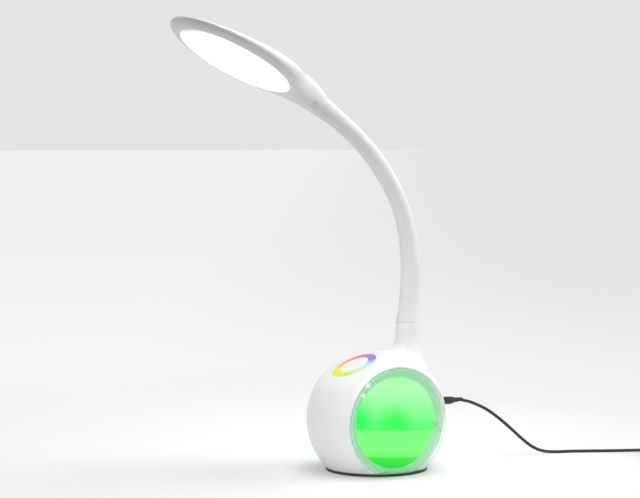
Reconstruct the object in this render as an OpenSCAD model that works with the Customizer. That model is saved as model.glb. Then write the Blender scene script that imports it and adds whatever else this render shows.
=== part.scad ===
// Desk lamp with a ball-shaped base, a bending arm and a round, flat lamp head.
// The base carries a mood light behind a clear dome on each side, and a colour ring on top.
// The origin is the centre of the foot, on the table. +Z is up and the head reaches to -Y.

/* [Base] */
// Radius of the ball-shaped base
base_r = 75.5; // [70:0.5:90]
// Height of the ball's centre above the table
base_z = 55; // [50:0.5:66]
// Wall of the two base shells
base_wall = 2.4; // [1.8:0.1:3]
// Height of the rubber foot ring
foot_h = 3; // [2:0.5:4]
// Width of the rubber foot ring
foot_w = 10; // [6:0.5:12]
// Thickness of the bottom plate
plate_t = 2; // [1.6:0.1:3]
// Radius of the steel weight
ballast_r = 31; // [20:0.5:31]
// Height of the steel weight
ballast_h = 16; // [8:0.5:16]
// Distance of the screw pillars from the middle, sideways
pillar_x = 24; // [20:0.5:24]
// Distance of the screw pillars from the middle, front and back
pillar_y = 36; // [36:0.5:38]
// Radius of a screw pillar
pillar_r = 4.2; // [3.8:0.1:4.6]
// Height above the table where the upper and lower pillars meet
pillar_joint_z = 50; // [40:0.5:52]
// Radius of a base screw
screw_r = 1.5; // [1.2:0.1:1.8]

/* [Mood light] */
// Distance of each round window's plane from the lamp's middle
window_x = 45.5; // [42:0.5:52]
// Wall of the clear domes
dome_wall = 3; // [2:0.1:4]
// Radius of the lit disc
disc_r = 48.4; // [40:0.2:50]
// Distance of the lit disc's edge from the lamp's middle
disc_x = 40.3; // [38.5:0.1:42]
// Thickness of the lit disc at its edge
disc_t = 2.2; // [1.6:0.1:3]
// Rise of the lit disc's middle over its edge
disc_rise = 3; // [1:0.2:4]
// Radius of the light cup behind the disc
cup_r = 46; // [36:0.5:47]
// Distance of the light cup's back from the lamp's middle
cup_x = 29; // [28.5:0.1:32]

/* [Colour ring and jack] */
// Forward tilt of the colour ring, in degrees
ring_tilt = 25; // [18:0.2:28]
// Outer radius of the colour ring
ring_out = 25; // [20:0.5:26]
// Inner radius of the colour ring
ring_in = 16.5; // [12:0.5:18]
// Thickness of the colour ring
ring_t = 1.4; // [1:0.1:1.8]
// Distance of the flatter crown under the ring from the ball's centre
crown_d = 66.4; // [66:0.1:67.4]
// Radius of the crown's curve
crown_r = 300; // [240:10:400]
// Height of the power jack above the table
jack_z = 68; // [66:0.5:76]
// Radius of the jack's round nose
jack_r = 5; // [4.6:0.1:5.6]

/* [Neck] */
// Distance of the neck behind the lamp's middle
neck_back = 40.5; // [34:0.5:41]
// Rise of the neck's top above the top of the ball
neck_rise = 27.5; // [24:0.5:36]
// Radius of the neck's top
neck_top_r = 13.5; // [13:0.1:15]
// Radius of the neck where it starts to spread
neck_r = 14; // [13.5:0.1:16]
// Width of the spread at the neck's foot
blend_w = 14; // [8:0.5:18]

/* [Arm] */
// Backward lean of the arm's foot, in degrees
arm_lean = 4; // [0:0.5:8]
// Length of the arm's fixed foot
foot_l = 32; // [26:0.5:40]
// Distance between two bending points of the arm
link_l = 30; // [26:0.5:38]
// Length of the arm's end that is fixed to the head
end_l = 33; // [30:0.5:40]
// Radius of the arm along its slim part
arm_r = 9.5; // [8.8:0.1:10.4]
// Gap between the two faces of a bending point
ball_gap = 0.3; // [0.2:0.05:0.5]
// Radius of the steel gooseneck inside the sleeve
spine_r = 4.1; // [3.2:0.1:4.6]
// Radius of the wire channel
wire_r = 1.6; // [1:0.1:2]
// Radius of the steel ferrule at the arm's foot
ferrule_r = 7.8; // [7:0.1:8.2]

/* [Head] */
// Radius of the round head
head_r = 75; // [68:0.5:90]
// Upward tilt of the head towards its tip, in degrees
head_tilt = 30.7; // [24:0.1:36]
// Distance from the head's middle to the end of its neck
head_back = 114.5; // [104:0.5:140]
// Height of the neck's centre line above the head's underside
head_neck_z = 6.7; // [5:0.1:8]
// Radius of the head's neck
head_neck_r = 11.5; // [11:0.1:12.5]
// Radius of the fillet between the round head and its neck
head_fillet = 60; // [30:1:60]
// Thickness of the head at its tip
tip_h = 3; // [3:0.1:4]
// Height that the head's top rises towards
peak_h = 27; // [24:0.5:30]
// Height of the line where the two covers of the head meet
part_h = 1.8; // [1.6:0.1:2.2]
// Wall of the head's top cover
head_wall = 1.6; // [1.2:0.1:2]
// Radius of the light opening
light_r = 63; // [54:0.5:63]
// Distance of the light opening's middle from the head's middle, towards the neck
light_y = 2.6; // [0:0.1:3]
// Depth of the flat underside below the head's zero level
under_h = 4.5; // [4.2:0.1:4.8]
// Width of the rounded edge round the underside
edge_w = 14; // [10:0.5:14]
// Thickness of the diffuser
diffuser_t = 1.4; // [1:0.1:1.4]

/* [Power lead] */
// Diameter of the lead
cord_d = 3.5; // [3:0.1:4]
// Radius of the coil at the middle of its turns
coil_mid_r = 20; // [18:0.5:21]
// Turns in one layer of the coil
layer_turns = 2.5625; // [2.0625:0.5:3.0625]
// Gap between neighbouring turns
coil_gap = 0.5; // [0.45:0.05:0.8]
// Thickness of the tie round the coil
tie_t = 0.8; // [0.6:0.1:1]
// Length of the wall adapter
adapter_l = 48; // [44:1:56]
// Width of the wall adapter
adapter_w = 28; // [26:1:34]
// Length of the adapter's pins
pin_l = 19; // [19:1:20]
// Radius of the adapter's pins
pin_r = 2; // [2:0.1:2.4]
// Distance between the adapter's pins
pin_gap = 19; // [18:1:20]

/* [Hidden] */
sides = ["left", "right"];
// Bend of each stretch of the arm, in degrees: the fixed foot, the links and the fixed end
bends = [0, 6, 8, 11, 10, 7, 8, 6, 5];
links = len(bends) - 2;

shell_white = "white";
light_green = [0.25, 1, 0.4];
clear_green = [0.75, 0.95, 0.82, 0.45];
rubber_black = [0.09, 0.09, 0.1];
board_green = [0.12, 0.4, 0.2];
steel_grey = "silver";
sleeve_white = [0.94, 0.94, 0.95];

slip = 0.1;                     // clearance between parts that slide together
seat = 0.2;                     // clearance between parts that rest on each other
tiny = 0.01;
mouth_r = spine_r + 0.8;        // mouth of the wire channel in each ball
ball_fn = 72;
bore_fn = 36;
crown_fn = 240;

foot_r = sqrt(base_r * base_r - pow(base_z - foot_h, 2));
plate_top = foot_h + plate_t;
plate_r = sqrt(pow(base_r - dome_wall, 2) - pow(base_z - foot_h, 2)) - seat;
ledge_t = 2;
ledge_x = disc_x - disc_t - 1.6 - 1;
ballast_screw_at = 20;
boss_h = ballast_h / 2;
board_z = plate_top + ballast_h + 3;
board_t = 1.6;
board_x = 27;
board_y = pillar_y - pillar_r - 1.8;
post_x = 22;
post_y = 26;
post_r = 2.6;
well_r = 3.2;
head_h = 2;
lip_h = 3;
lip_t = 1.2;

tray_r = sqrt(pow(base_r - base_wall, 2) - window_x * window_x) - 0.15;
led_board_r = 24;
touch_r = 20;
touch_d = sqrt(pow(crown_r - base_wall, 2) - touch_r * touch_r) - crown_r + crown_d - 0.25;
jack_pad_y = sqrt(pow(base_r - base_wall, 2) - pow(jack_z + 8.5 - base_z, 2)) - 2.5;
jack_back_y = sqrt(base_r * base_r - pow(jack_z - base_z, 2));

neck_top_z = base_z + base_r + neck_rise;
spread_z = neck_top_z - 14;
neck_cap = 6;                   // thickness of the neck's top under the arm
neck_hollow_r = 10.6;
nut_h = 5;

lengths = concat([foot_l], [for (i = [1 : links]) link_l], [end_l]);
// Radius of each stretch at its upper end
radii = concat([arm_r + 1.5, arm_r + 1.1, arm_r + 0.4, arm_r + 0.1], [for (i = [4 : links]) arm_r]);

function sum(v, n, i = 0) = i >= n ? 0 : v[i] + sum(v, n, i + 1);
// Angle of the arm from upright at the lower end of stretch i, leaning to -Y
function angle_at(i) = sum(bends, i) - arm_lean;
// Step along one stretch, straight or as an arc
function step(i) = let (a = angle_at(i), b = bends[i], l = lengths[i])
    b == 0 ? [-sin(a) * l, cos(a) * l]
           : let (r = l / (b * PI / 180)) [r * (cos(a + b) - cos(a)), r * (sin(a + b) - sin(a))];
// Lower end of stretch i, as [y, z]
function place_at(i) = i == 0 ? [neck_back, neck_top_z] : place_at(i - 1) + step(i - 1);

arm_end = place_at(links + 2);
head_origin = arm_end - [head_back * cos(head_tilt) + head_neck_z * sin(head_tilt),
                         -head_back * sin(head_tilt) + head_neck_z * cos(head_tilt)];

// Outline of the head: a circle, a hollow fillet and a straight neck
fillet_x = head_neck_r + head_fillet;
fillet_y = min(sqrt(pow(head_r + head_fillet, 2) - fillet_x * fillet_x), head_back);
knee_y = head_back - 26.5;      // where the top bends down to the neck
rise_l = head_r + 130;          // length over which the top would reach its peak

// Half of its width at y, on a line set in from the outline
function half_width(y, inset) = let (r = head_r - inset, f = head_fillet + inset)
    y < fillet_y * r / (head_r + head_fillet) ? sqrt(max(r * r - y * y, 0.2))
    : y < fillet_y ? fillet_x - sqrt(max(f * f - pow(y - fillet_y, 2), 0))
    : head_neck_r - inset;
// 0 on the round head, 1 at the end of its neck
function neckness(y) = let (k = min(max((y - 30) / (head_back - 30), 0), 1)) k * k * (3 - 2 * k);
function slope_top(y) = tip_h + (peak_h - tip_h) * sin(90 * (y + head_r) / rise_l);
function top_h(y) = y < knee_y ? slope_top(y)
    : slope_top(knee_y) - (slope_top(knee_y) - head_neck_z - head_neck_r)
        * pow((y - knee_y) / (head_back - knee_y), 2);
function mid_h(y) = part_h + (head_neck_z - part_h) * neckness(y);
function low_h(y) = (head_neck_z - head_neck_r + under_h) * neckness(y) - under_h;
// 0 at the outline, 1 on the flat underside; the edge rolls round to a full half circle at the neck
function roll(x, y, w, r) = let (k = min(max((y - 20) / 40, 0), 1), b = k * k * (3 - 2 * k),
        near = (1 - b) * max(r - norm([x, y]), 0) + b * (w - abs(x)), t = min(near / min(edge_w, w), 1))
    sqrt(max(1 - pow(1 - t, 2), 0));
function roundness(y) = 2 / (2.4 - 0.4 * neckness(y));

// The lead's route from the plug to the coil, resting on the table from the eleventh point
route = [[0, 110, 67], [0, 120, 64.5], [0, 131, 60], [0, 143, 54], [0, 155, 46], [1, 167, 36.5],
         [2, 178, 27], [3, 189, 17.5], [5, 200, 9], [8, 212, 3.5], [12, 226, 1.8], [18, 243, 1.8],
         [26, 260, 1.8], [35, 278, 1.8], [45, 296, 2], [54, 312, 2.3], [63, 327, 2.7],
         [70, 339, 2.7], [72, 342.5, 2.7]];
coil_heading = 60;              // direction of the lead where the coil starts
coil_pitch = cord_d + coil_gap;
coil_out_r = coil_mid_r + coil_pitch * layer_turns / 2;
coil_low_z = route[len(route) - 1][2];
coil_start = route[len(route) - 1];
coil_mid = [coil_start[0] + coil_out_r * sin(coil_heading),
            coil_start[1] - coil_out_r * cos(coil_heading)];
layers = 4;
loop_rings = 24;
turns = layers * layer_turns;
relief_l = 14;
lead_end = 10;                  // straight end of the coil before the adapter
end_heading = coil_heading - 360 * turns;
adapter_z = coil_low_z + (layers - 1) * coil_pitch;
adapter_h = 2 * adapter_z;

// Spiral in and out once for each pair of layers, a layer higher after each half-turn of climb
function zigzag(t) = let (k = floor(t / layer_turns), u = t - k * layer_turns)
    k % 2 == 0 ? u : layer_turns - u;
function smooth(u) = let (k = min(max(u, 0), 1)) k * k * (3 - 2 * k);
function climb(t) = sum([for (k = [1 : layers - 1]) smooth((t - k * layer_turns + 0.25) / 0.5)], layers - 1);
function coil_point(t) = let (r = coil_out_r - coil_pitch * zigzag(t), a = coil_heading + 90 - 360 * t)
    [coil_mid[0] + r * cos(a), coil_mid[1] + r * sin(a), coil_low_z + coil_pitch * climb(t)];
coil_last = coil_point(turns);
lead_way = [cos(end_heading), sin(end_heading), 0];
adapter_face = coil_last + lead_way * (lead_end + relief_l);
coil_line = concat([for (i = [0 : turns * loop_rings]) coil_point(i / loop_rings)],
    [for (l = [cord_d, lead_end]) coil_last + lead_way * l]);

// Smooth line through given points, with n steps between each two
function blend_point(a, b, c, d, u) = 0.5 * ((2 * b) + (c - a) * u + (2 * a - 5 * b + 4 * c - d) * u * u
    + (3 * b - a - 3 * c + d) * u * u * u);
function smooth_line(p, n) = let (m = len(p) - 1) concat(
    [for (i = [0 : m - 1], j = [0 : n - 1])
        blend_point(p[max(i - 1, 0)], p[i], p[i + 1], p[min(i + 2, m)], j / n)], [p[m]]);

function unit(v) = v / norm(v);
function heading_at(p, i) = unit(p[min(i + 1, len(p) - 1)] - p[max(i - 1, 0)]);
function tube_ring(p, i, r, n) = let (t = heading_at(p, i), s = unit(cross(t, [0, 0, 1])), u = cross(s, t))
    [for (k = [0 : n - 1]) p[i] + r * (cos(360 * (k + 0.5) / n) * s + sin(360 * (k + 0.5) / n) * u)];

// Closed skin over a stack of rings of n points each
module skin(rings) {
    n = len(rings[0]);
    m = len(rings);
    polyhedron(
        points = [for (r = rings) each r],
        faces = concat(
            [[for (k = [n - 1 : -1 : 0]) k]],
            [for (i = [0 : m - 2], k = [0 : n - 1]) [i * n + k, i * n + (k + 1) % n, (i + 1) * n + k]],
            [for (i = [0 : m - 2], k = [0 : n - 1])
                [i * n + (k + 1) % n, (i + 1) * n + (k + 1) % n, (i + 1) * n + k]],
            [[for (k = [0 : n - 1]) (m - 1) * n + k]]),
        convexity = 10);
}

module tube_along(p, r, n) {
    skin([for (i = [0 : len(p) - 1]) tube_ring(p, i, r, n)]);
}

// ---- base ----

module ball(r) {
    translate([0, 0, base_z]) sphere(r = r, $fn = ball_fn);
}

// The block of space within half_x of the middle, between two heights
module slab(half_x, z0, z1) {
    translate([-half_x, -2 * base_r, z0]) cube([2 * half_x, 4 * base_r, z1 - z0]);
}

module at_pillars() {
    for (x = [-pillar_x, pillar_x], y = [-pillar_y, pillar_y]) translate([x, y, 0]) children();
}

module at_posts() {
    for (x = [-post_x, post_x], y = [-post_y, post_y]) translate([x, y, 0]) children();
}

module at_ballast_screws() {
    for (a = [90, 210, 330]) rotate([0, 0, a]) translate([ballast_screw_at, 0, 0]) children();
}

module foot_ring() {
    color(rubber_black) difference() {
        union() {
            cylinder(r = foot_r - 0.4, h = foot_h, $fn = 96);
            translate([0, 0, 0.8]) cylinder(r = foot_r, h = foot_h - 0.8, $fn = 96);
        }
        translate([0, 0, -1]) cylinder(r = foot_r - foot_w, h = foot_h + 2, $fn = 72);
    }
}

module bottom_plate() {
    color("whitesmoke") difference() {
        union() {
            translate([0, 0, foot_h]) cylinder(r = plate_r, h = plate_t, $fn = 96);
            at_pillars() translate([0, 0, foot_h]) cylinder(r = pillar_r, h = pillar_joint_z - foot_h, $fn = bore_fn);
            at_posts() translate([0, 0, foot_h]) cylinder(r = post_r, h = board_z - foot_h, $fn = bore_fn);
            at_ballast_screws() translate([0, 0, foot_h])
                cylinder(r = well_r, h = plate_t + boss_h, $fn = bore_fn);
        }
        at_pillars() {
            translate([0, 0, foot_h - 1]) cylinder(r = well_r, h = pillar_joint_z - 6 - foot_h + 1, $fn = bore_fn);
            translate([0, 0, foot_h]) cylinder(r = screw_r + slip, h = pillar_joint_z, $fn = bore_fn);
        }
        at_posts() translate([0, 0, board_z - 8]) cylinder(r = 1, h = 9, $fn = bore_fn);
        at_ballast_screws() translate([0, 0, plate_top + 1])
            cylinder(r = screw_r, h = boss_h, $fn = bore_fn);
    }
}

module ballast_weight() {
    color(steel_grey) difference() {
        intersection() {
            rotate_extrude($fn = 96) polygon([[0, plate_top], [ballast_r, plate_top],
                [ballast_r, plate_top + ballast_h - 1.5], [ballast_r - 1.5, plate_top + ballast_h],
                [0, plate_top + ballast_h]]);
            slab(cup_x - 2 * seat, 0, base_z);
        }
        at_ballast_screws() {
            translate([0, 0, plate_top - 1]) cylinder(r = well_r + seat, h = boss_h + 1 + seat, $fn = bore_fn);
            translate([0, 0, plate_top]) cylinder(r = screw_r + slip, h = ballast_h + 1, $fn = bore_fn);
        }
    }
}

// Pan-head screw with its tip at z0 and its head resting at z1
module pan_screw(r, head, z0, z1) {
    translate([0, 0, z0]) cylinder(r = r, h = z1 - z0 + tiny, $fn = bore_fn);
    translate([0, 0, z1]) difference() {
        cylinder(r1 = head, r2 = head * 0.75, h = head_h, $fn = bore_fn);
        translate([0, 0, head_h - 0.9]) for (a = [0, 90]) rotate([0, 0, a])
            translate([-head * 0.5, -0.35, 0]) cube([head, 0.7, 1]);
    }
}

module ballast_screws() {
    color(steel_grey) at_ballast_screws() pan_screw(screw_r - 0.05, 3, plate_top + 2, plate_top + ballast_h);
}

module base_screws() {
    color(steel_grey) at_pillars() translate([0, 0, pillar_joint_z - 6]) mirror([0, 0, 1])
        pan_screw(screw_r, 2.9, -16, 0);
}

module lower_shell() {
    color(shell_white) {
        difference() {
            intersection() {
                ball(base_r);
                slab(window_x, foot_h, base_z);
            }
            ball(base_r - base_wall);
        }
        // floor that the bottom plate pulls against, open round the weight
        difference() {
            intersection() {
                ball(base_r - base_wall / 2);
                slab(ledge_x, plate_top, plate_top + ledge_t);
            }
            cylinder(r = ballast_r + 1, h = base_z, $fn = 96);
            at_pillars() cylinder(r = pillar_r + seat, h = base_z, $fn = bore_fn);
            at_posts() cylinder(r = post_r + seat, h = base_z, $fn = bore_fn);
        }
    }
}

// Ring of points of the neck's skin: from the top, straight down, then spreading onto the ball
function spread_width(a) = let (c = -neck_back * sin(a))
    min(blend_w, 0.94 * sqrt(base_r * base_r - pow(neck_back * cos(a), 2)) + c - neck_r);
function spread_point(a, u) =
    let (c = -neck_back * sin(a), w = spread_width(a), rho = neck_r + w,
         drop = sqrt(base_r * base_r - pow(neck_back * cos(a), 2) - pow(rho - c, 2)),
         z2 = base_z + drop - 0.15, z1 = min(z2 + w * (rho - c) / drop, spread_z - 2),
         r = neck_r + w * u * u,
         z = (1 - u) * (1 - u) * spread_z + 2 * u * (1 - u) * z1 + u * u * z2)
    [r * cos(a), neck_back + r * sin(a), z];
neck_steps = 8;
neck_sides = 48;

module neck_skin() {
    angles = [for (k = [0 : neck_sides - 1]) 360 * k / neck_sides];
    skin(concat(
        [[for (a = angles) [(neck_top_r - 0.6) * cos(a), neck_back + (neck_top_r - 0.6) * sin(a), neck_top_z]],
         [for (a = angles) [neck_top_r * cos(a), neck_back + neck_top_r * sin(a), neck_top_z - 0.6]]],
        [for (i = [0 : neck_steps]) [for (a = angles) spread_point(a, i / neck_steps)]],
        [[for (a = angles) [5 * cos(a), neck_back + 5 * sin(a), base_z + 20]]]));
}

// Flatter crown that carries the colour ring, and the ball cut by it, both set in from the outside
module crown(inset) {
    translate([0, 0, base_z]) rotate([ring_tilt, 0, 0]) translate([0, 0, crown_d - crown_r])
        sphere(r = crown_r - inset, $fn = crown_fn);
}

module crowned_ball(inset) {
    intersection() {
        ball(base_r - inset);
        crown(inset);
    }
}

module ring_tube(out, in) {
    translate([0, 0, base_z]) rotate([ring_tilt, 0, 0]) difference() {
        cylinder(r = out, h = base_r + 5, $fn = 72);
        translate([0, 0, -1]) cylinder(r = in, h = base_r + 7, $fn = 72);
    }
}

module at_jack(y) {
    translate([0, y, jack_z]) rotate([-90, 0, 0]) children();
}

module upper_shell() {
    color(shell_white) {
        difference() {
            union() {
                intersection() {
                    crowned_ball(0);
                    slab(window_x, base_z, base_z + 2 * base_r);
                }
                neck_skin();
            }
            crowned_ball(base_wall);
            translate([0, neck_back, neck_top_z]) rotate([-arm_lean, 0, 0]) {
                translate([0, 0, -neck_rise - 30]) cylinder(r = neck_hollow_r, h = neck_rise + 30 - neck_cap, $fn = bore_fn);
                translate([0, 0, -neck_cap - 1]) cylinder(r = ferrule_r + slip, h = neck_cap + 3, $fn = bore_fn);
            }
            difference() {
                ring_tube(ring_out + seat, ring_in - seat);
                crown(ring_t + seat);
            }
            at_jack(jack_pad_y - 1) cylinder(r = jack_r + slip, h = 20, $fn = bore_fn);
        }
        // pillars that take the base screws
        difference() {
            intersection() {
                crowned_ball(base_wall - 0.4);
                at_pillars() translate([0, 0, pillar_joint_z]) cylinder(r = pillar_r, h = base_r + 10, $fn = bore_fn);
            }
            at_pillars() translate([0, 0, pillar_joint_z - 1]) cylinder(r = screw_r, h = 14, $fn = bore_fn);
        }
        // lip inside the lower shell
        intersection() {
            slab(ledge_x, base_z - lip_h, base_z + lip_h);
            difference() {
                union() {
                    translate([0, 0, base_z - lip_h])
                        cylinder(r = base_r - base_wall - seat, h = 2 * lip_h, $fn = 96);
                    translate([0, 0, base_z]) cylinder(r = base_r - base_wall / 2, h = lip_h, $fn = 96);
                }
                cylinder(r = base_r - base_wall - seat - lip_t, h = 2 * base_r, $fn = 96);
            }
        }
        // pad behind the jack
        difference() {
            intersection() {
                ball(base_r - base_wall / 2);
                at_jack(jack_pad_y) cylinder(r = 8.5, h = 20, $fn = bore_fn);
            }
            at_jack(jack_pad_y - 1) cylinder(r = jack_r + slip, h = 22, $fn = bore_fn);
        }
    }
}

module control_board() {
    color(board_green) difference() {
        translate([-board_x, -board_y, board_z]) cube([2 * board_x, 2 * board_y, board_t]);
        at_posts() translate([0, 0, board_z - 1]) cylinder(r = 1.3, h = 4, $fn = bore_fn);
    }
    translate([0, 0, board_z + board_t]) {
        color("black") translate([-6, -8, 0]) cube([9, 9, 1.6]);
        color("silver") for (p = [[12, -14], [14, 6]]) translate([p[0], p[1], 0]) cylinder(r = 3.2, h = 8, $fn = 24);
        color("ivory") for (y = [-20, 14]) translate([-20, y, 0]) cube([6, 9, 6]);
    }
}

module touch_board() {
    color(board_green) translate([0, 0, base_z]) rotate([ring_tilt, 0, 0]) translate([0, 0, touch_d - 1.6])
        cylinder(r = touch_r, h = 1.6, $fn = 72);
}

module colour_ring() {
    color([0.98, 0.75, 0.2]) difference() {
        intersection() {
            crown(0);
            ring_tube(ring_out, ring_in);
        }
        crown(ring_t);
    }
}

module dc_jack() {
    color(rubber_black) {
        at_jack(jack_pad_y - 13) difference() {
            union() {
                translate([-5.5, -6, 0]) cube([11, 12, 11.2]);
                translate([0, 0, 11]) cylinder(r = 7.5, h = 2, $fn = bore_fn);
                translate([0, 0, 12]) cylinder(r = jack_r, h = jack_back_y - jack_pad_y + 0.4, $fn = bore_fn);
            }
            translate([0, 0, 4]) cylinder(r = 2.85, h = 40, $fn = bore_fn);
        }
        at_jack(jack_pad_y - 10) cylinder(r = 0.95, h = 12, $fn = 24);
    }
}

// ---- mood light ----

// Turns the X axis into the axis of a piece drawn along Z, on the left or the right
module on_side(side) {
    mirror([side == "left" ? 1 : 0, 0, 0]) translate([0, 0, base_z]) rotate([0, 90, 0]) children();
}

module above(z) {
    translate([-2 * base_r, -2 * base_r, z]) cube(4 * base_r);
}

module dome(side) {
    color(clear_green) mirror([side == "left" ? 1 : 0, 0, 0]) difference() {
        intersection() {
            ball(base_r);
            translate([window_x, -base_r, foot_h]) cube([base_r, 2 * base_r, 2 * base_r]);
        }
        ball(base_r - dome_wall);
    }
}

module diffuser(side) {
    bulge_r = (disc_r * disc_r + disc_rise * disc_rise) / (2 * disc_rise);
    color(light_green) on_side(side) intersection() {
        translate([0, 0, disc_x - disc_t]) cylinder(r = disc_r, h = disc_t + disc_rise, $fn = 96);
        translate([0, 0, disc_x + disc_rise - bulge_r]) sphere(r = bulge_r, $fn = 200);
    }
}

module light_tray(side) {
    back = disc_x - disc_t;
    color(shell_white) intersection() {
        above(plate_top + seat);
        on_side(side) rotate_extrude($fn = 96) polygon([
            [0, cup_x], [cup_r + 1.6, cup_x], [cup_r + 1.6, back - 1.6], [disc_r + 1.9, back - 1.6],
            [tray_r, window_x - 1.6], [tray_r, window_x], [tray_r - 1.2, window_x],
            [disc_r + seat, disc_x], [disc_r + seat, back], [cup_r, back], [cup_r, cup_x + 1.6],
            [0, cup_x + 1.6]]);
    }
}

module led_board(side) {
    on_side(side) translate([0, 0, cup_x + 1.6]) {
        color("white") cylinder(r = led_board_r, h = board_t, $fn = 48);
        color([0.95, 0.9, 0.5]) for (a = [0 : 60 : 300]) rotate([0, 0, a])
            translate([14, -1.75, board_t - tiny]) cube([3.5, 3.5, 1.4]);
    }
}

// ---- arm ----

module at_arm(i) {
    p = place_at(i);
    translate([0, p[0], p[1]]) rotate([angle_at(i), 0, 0]) children();
}

// Round bar along stretch i, between two shares of its length
module arc_bar(i, r, from = 0, to = 1) {
    bend = bends[i];
    arc_r = lengths[i] / (bend * PI / 180);
    translate([0, -arc_r, 0]) rotate([bend * from, 0, 0]) rotate([90, 0, 90])
        rotate_extrude(angle = bend * (to - from), $fn = 360) translate([arc_r, 0]) circle(r = r, $fn = 48);
}

module at_bar_end(i) {
    bend = bends[i];
    arc_r = lengths[i] / (bend * PI / 180);
    translate([0, arc_r * (cos(bend) - 1), arc_r * sin(bend)]) rotate([bend, 0, 0]) children();
}

module neck_ferrule() {
    color(steel_grey) at_arm(0) difference() {
        translate([0, 0, -24]) cylinder(r = ferrule_r, h = 36, $fn = bore_fn);
        translate([0, 0, -25]) cylinder(r = spine_r + slip, h = 40, $fn = bore_fn);
    }
}

module neck_nut() {
    color(steel_grey) at_arm(0) difference() {
        translate([0, 0, -neck_cap - slip - nut_h]) cylinder(r = neck_hollow_r - 0.5, h = nut_h, $fn = 6);
        translate([0, 0, -neck_cap - nut_h - 1]) cylinder(r = ferrule_r + 0.05, h = nut_h + 2, $fn = bore_fn);
    }
}

module arm_sleeve_foot() {
    r0 = neck_top_r - 0.2;
    r1 = radii[0];
    color(sleeve_white) at_arm(0) difference() {
        union() {
            intersection() {
                rotate_extrude($fn = 72) polygon(concat([[0, -2]],
                    [for (i = [0 : 8]) let (u = i / 8) [r1 + (r0 - r1) * pow(1 - u, 2.2), foot_l * u - (i == 0 ? 2 : 0)]],
                    [[0, foot_l]]));
                rotate([arm_lean, 0, 0]) translate([-50, -50, seat]) cube(100);
            }
            translate([0, 0, foot_l]) sphere(r = r1 - 0.1, $fn = 72);
        }
        translate([0, 0, -1]) cylinder(r = ferrule_r + slip, h = 13.2, $fn = bore_fn);
        cylinder(r = spine_r + 0.05, h = foot_l, $fn = bore_fn);
        translate([0, 0, foot_l - 1]) cylinder(r = mouth_r, h = 30, $fn = 48);
    }
}

module arm_spine_foot() {
    color(steel_grey) at_arm(0) difference() {
        translate([0, 0, -20]) cylinder(r = spine_r, h = foot_l + 20, $fn = bore_fn);
        translate([0, 0, -21]) cylinder(r = wire_r, h = foot_l + 22, $fn = 24);
    }
}

// A stretch of sleeve: its hollow lower end turns on the ball end of the stretch below
module arm_sleeve(i) {
    color(sleeve_white) at_arm(i) difference() {
        union() {
            arc_bar(i, radii[i]);
            at_bar_end(i) sphere(r = radii[i] - 0.1, $fn = 72);
        }
        sphere(r = radii[i - 1] + ball_gap, $fn = 72);
        arc_bar(i, spine_r + 0.05);
        at_bar_end(i) translate([0, 0, -1]) cylinder(r = mouth_r, h = 30, $fn = 48);
    }
}

module arm_spine(i) {
    from = (radii[i - 1] + 2 * ball_gap) / lengths[i];
    color(steel_grey) at_arm(i) difference() {
        arc_bar(i, spine_r, from);
        arc_bar(i, wire_r, 0, 1.05);
    }
}

module arm_sleeve_end() {
    i = links + 1;
    color(sleeve_white) difference() {
        at_arm(i) rotate([bends[i] / 2, 0, 0]) difference() {
            cylinder(r1 = radii[i - 1], r2 = head_neck_r - 0.2, h = end_l + 2, $fn = 72);
            sphere(r = radii[i - 1] + ball_gap, $fn = 72);
            cylinder(r = spine_r + 0.05, h = end_l + 3, $fn = bore_fn);
        }
        at_head() translate([0, head_back + seat, head_neck_z]) rotate([90, 0, 0])
            cylinder(r = 30, h = 20, $fn = 48);
        at_head() translate([0, head_back + 8.3, head_neck_z]) rotate([90, 0, 0])
            cylinder(r = ferrule_r - 1.2 + slip, h = 20, $fn = bore_fn);
    }
}

module arm_spine_end() {
    i = links + 1;
    start = radii[i - 1] + 2 * ball_gap;
    color(steel_grey) at_arm(i) rotate([bends[i] / 2, 0, 0]) difference() {
        translate([0, 0, start]) cylinder(r = spine_r, h = end_l - 10 - start, $fn = bore_fn);
        cylinder(r = wire_r, h = end_l, $fn = 24);
    }
}

// ---- head ----

module at_head() {
    translate([0, head_origin[0], head_origin[1]]) rotate([-head_tilt, 0, 0]) children();
}

// Stations along the head, closer together near the tip, and points across it
function stations(inset, last) = concat(
    [for (a = [3, 8, 15, 27, 39, 51, 63, 75, 85]) -(head_r - inset) * cos(a)],
    [for (i = [1 : 14]) last * i / 14]);
across = 22;

// Half of the head's section at y, over or under the meeting line, from one side to the other
function half_ring(y, inset, up, extra) =
    let (w = half_width(y, inset), m = mid_h(y),
         h = up ? max(top_h(y) - inset, m - 0.5 * extra) : low_h(y) + inset, e = roundness(y),
         z = up ? m - extra : m + extra)
    concat([for (k = [0 : across]) let (a = 180 * k / across, c = cos(a), x = w * sign(c) * pow(abs(c), e))
                [x, y, m + (h - m) * (up ? pow(sin(a), e) : roll(x, y, w, head_r - inset))]],
           extra == 0 ? [] : [[-w, y, z], [w, y, z]]);
function turned(rings, up) = up ? rings : [for (r = rings) [for (k = [len(r) - 1 : -1 : 0]) r[k]]];

module head_half(inset, up, extra, last) {
    skin(turned([for (y = stations(inset, last)) half_ring(y, inset, up, extra)], up));
}

module neck_bore(r, depth) {
    translate([0, head_back + 1, head_neck_z]) rotate([90, 0, 0]) cylinder(r = r, h = depth + 1, $fn = bore_fn);
}

cover_y = head_back - 13;       // place of the screw covers along the neck
cover_turn = 24;                // how far below the side they sit, in degrees
cover_r = 4;

module at_covers() {
    for (s = [0, 1]) mirror([s, 0, 0]) translate([0, cover_y, head_neck_z]) rotate([0, 90 + cover_turn, 0])
        children();
}

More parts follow.
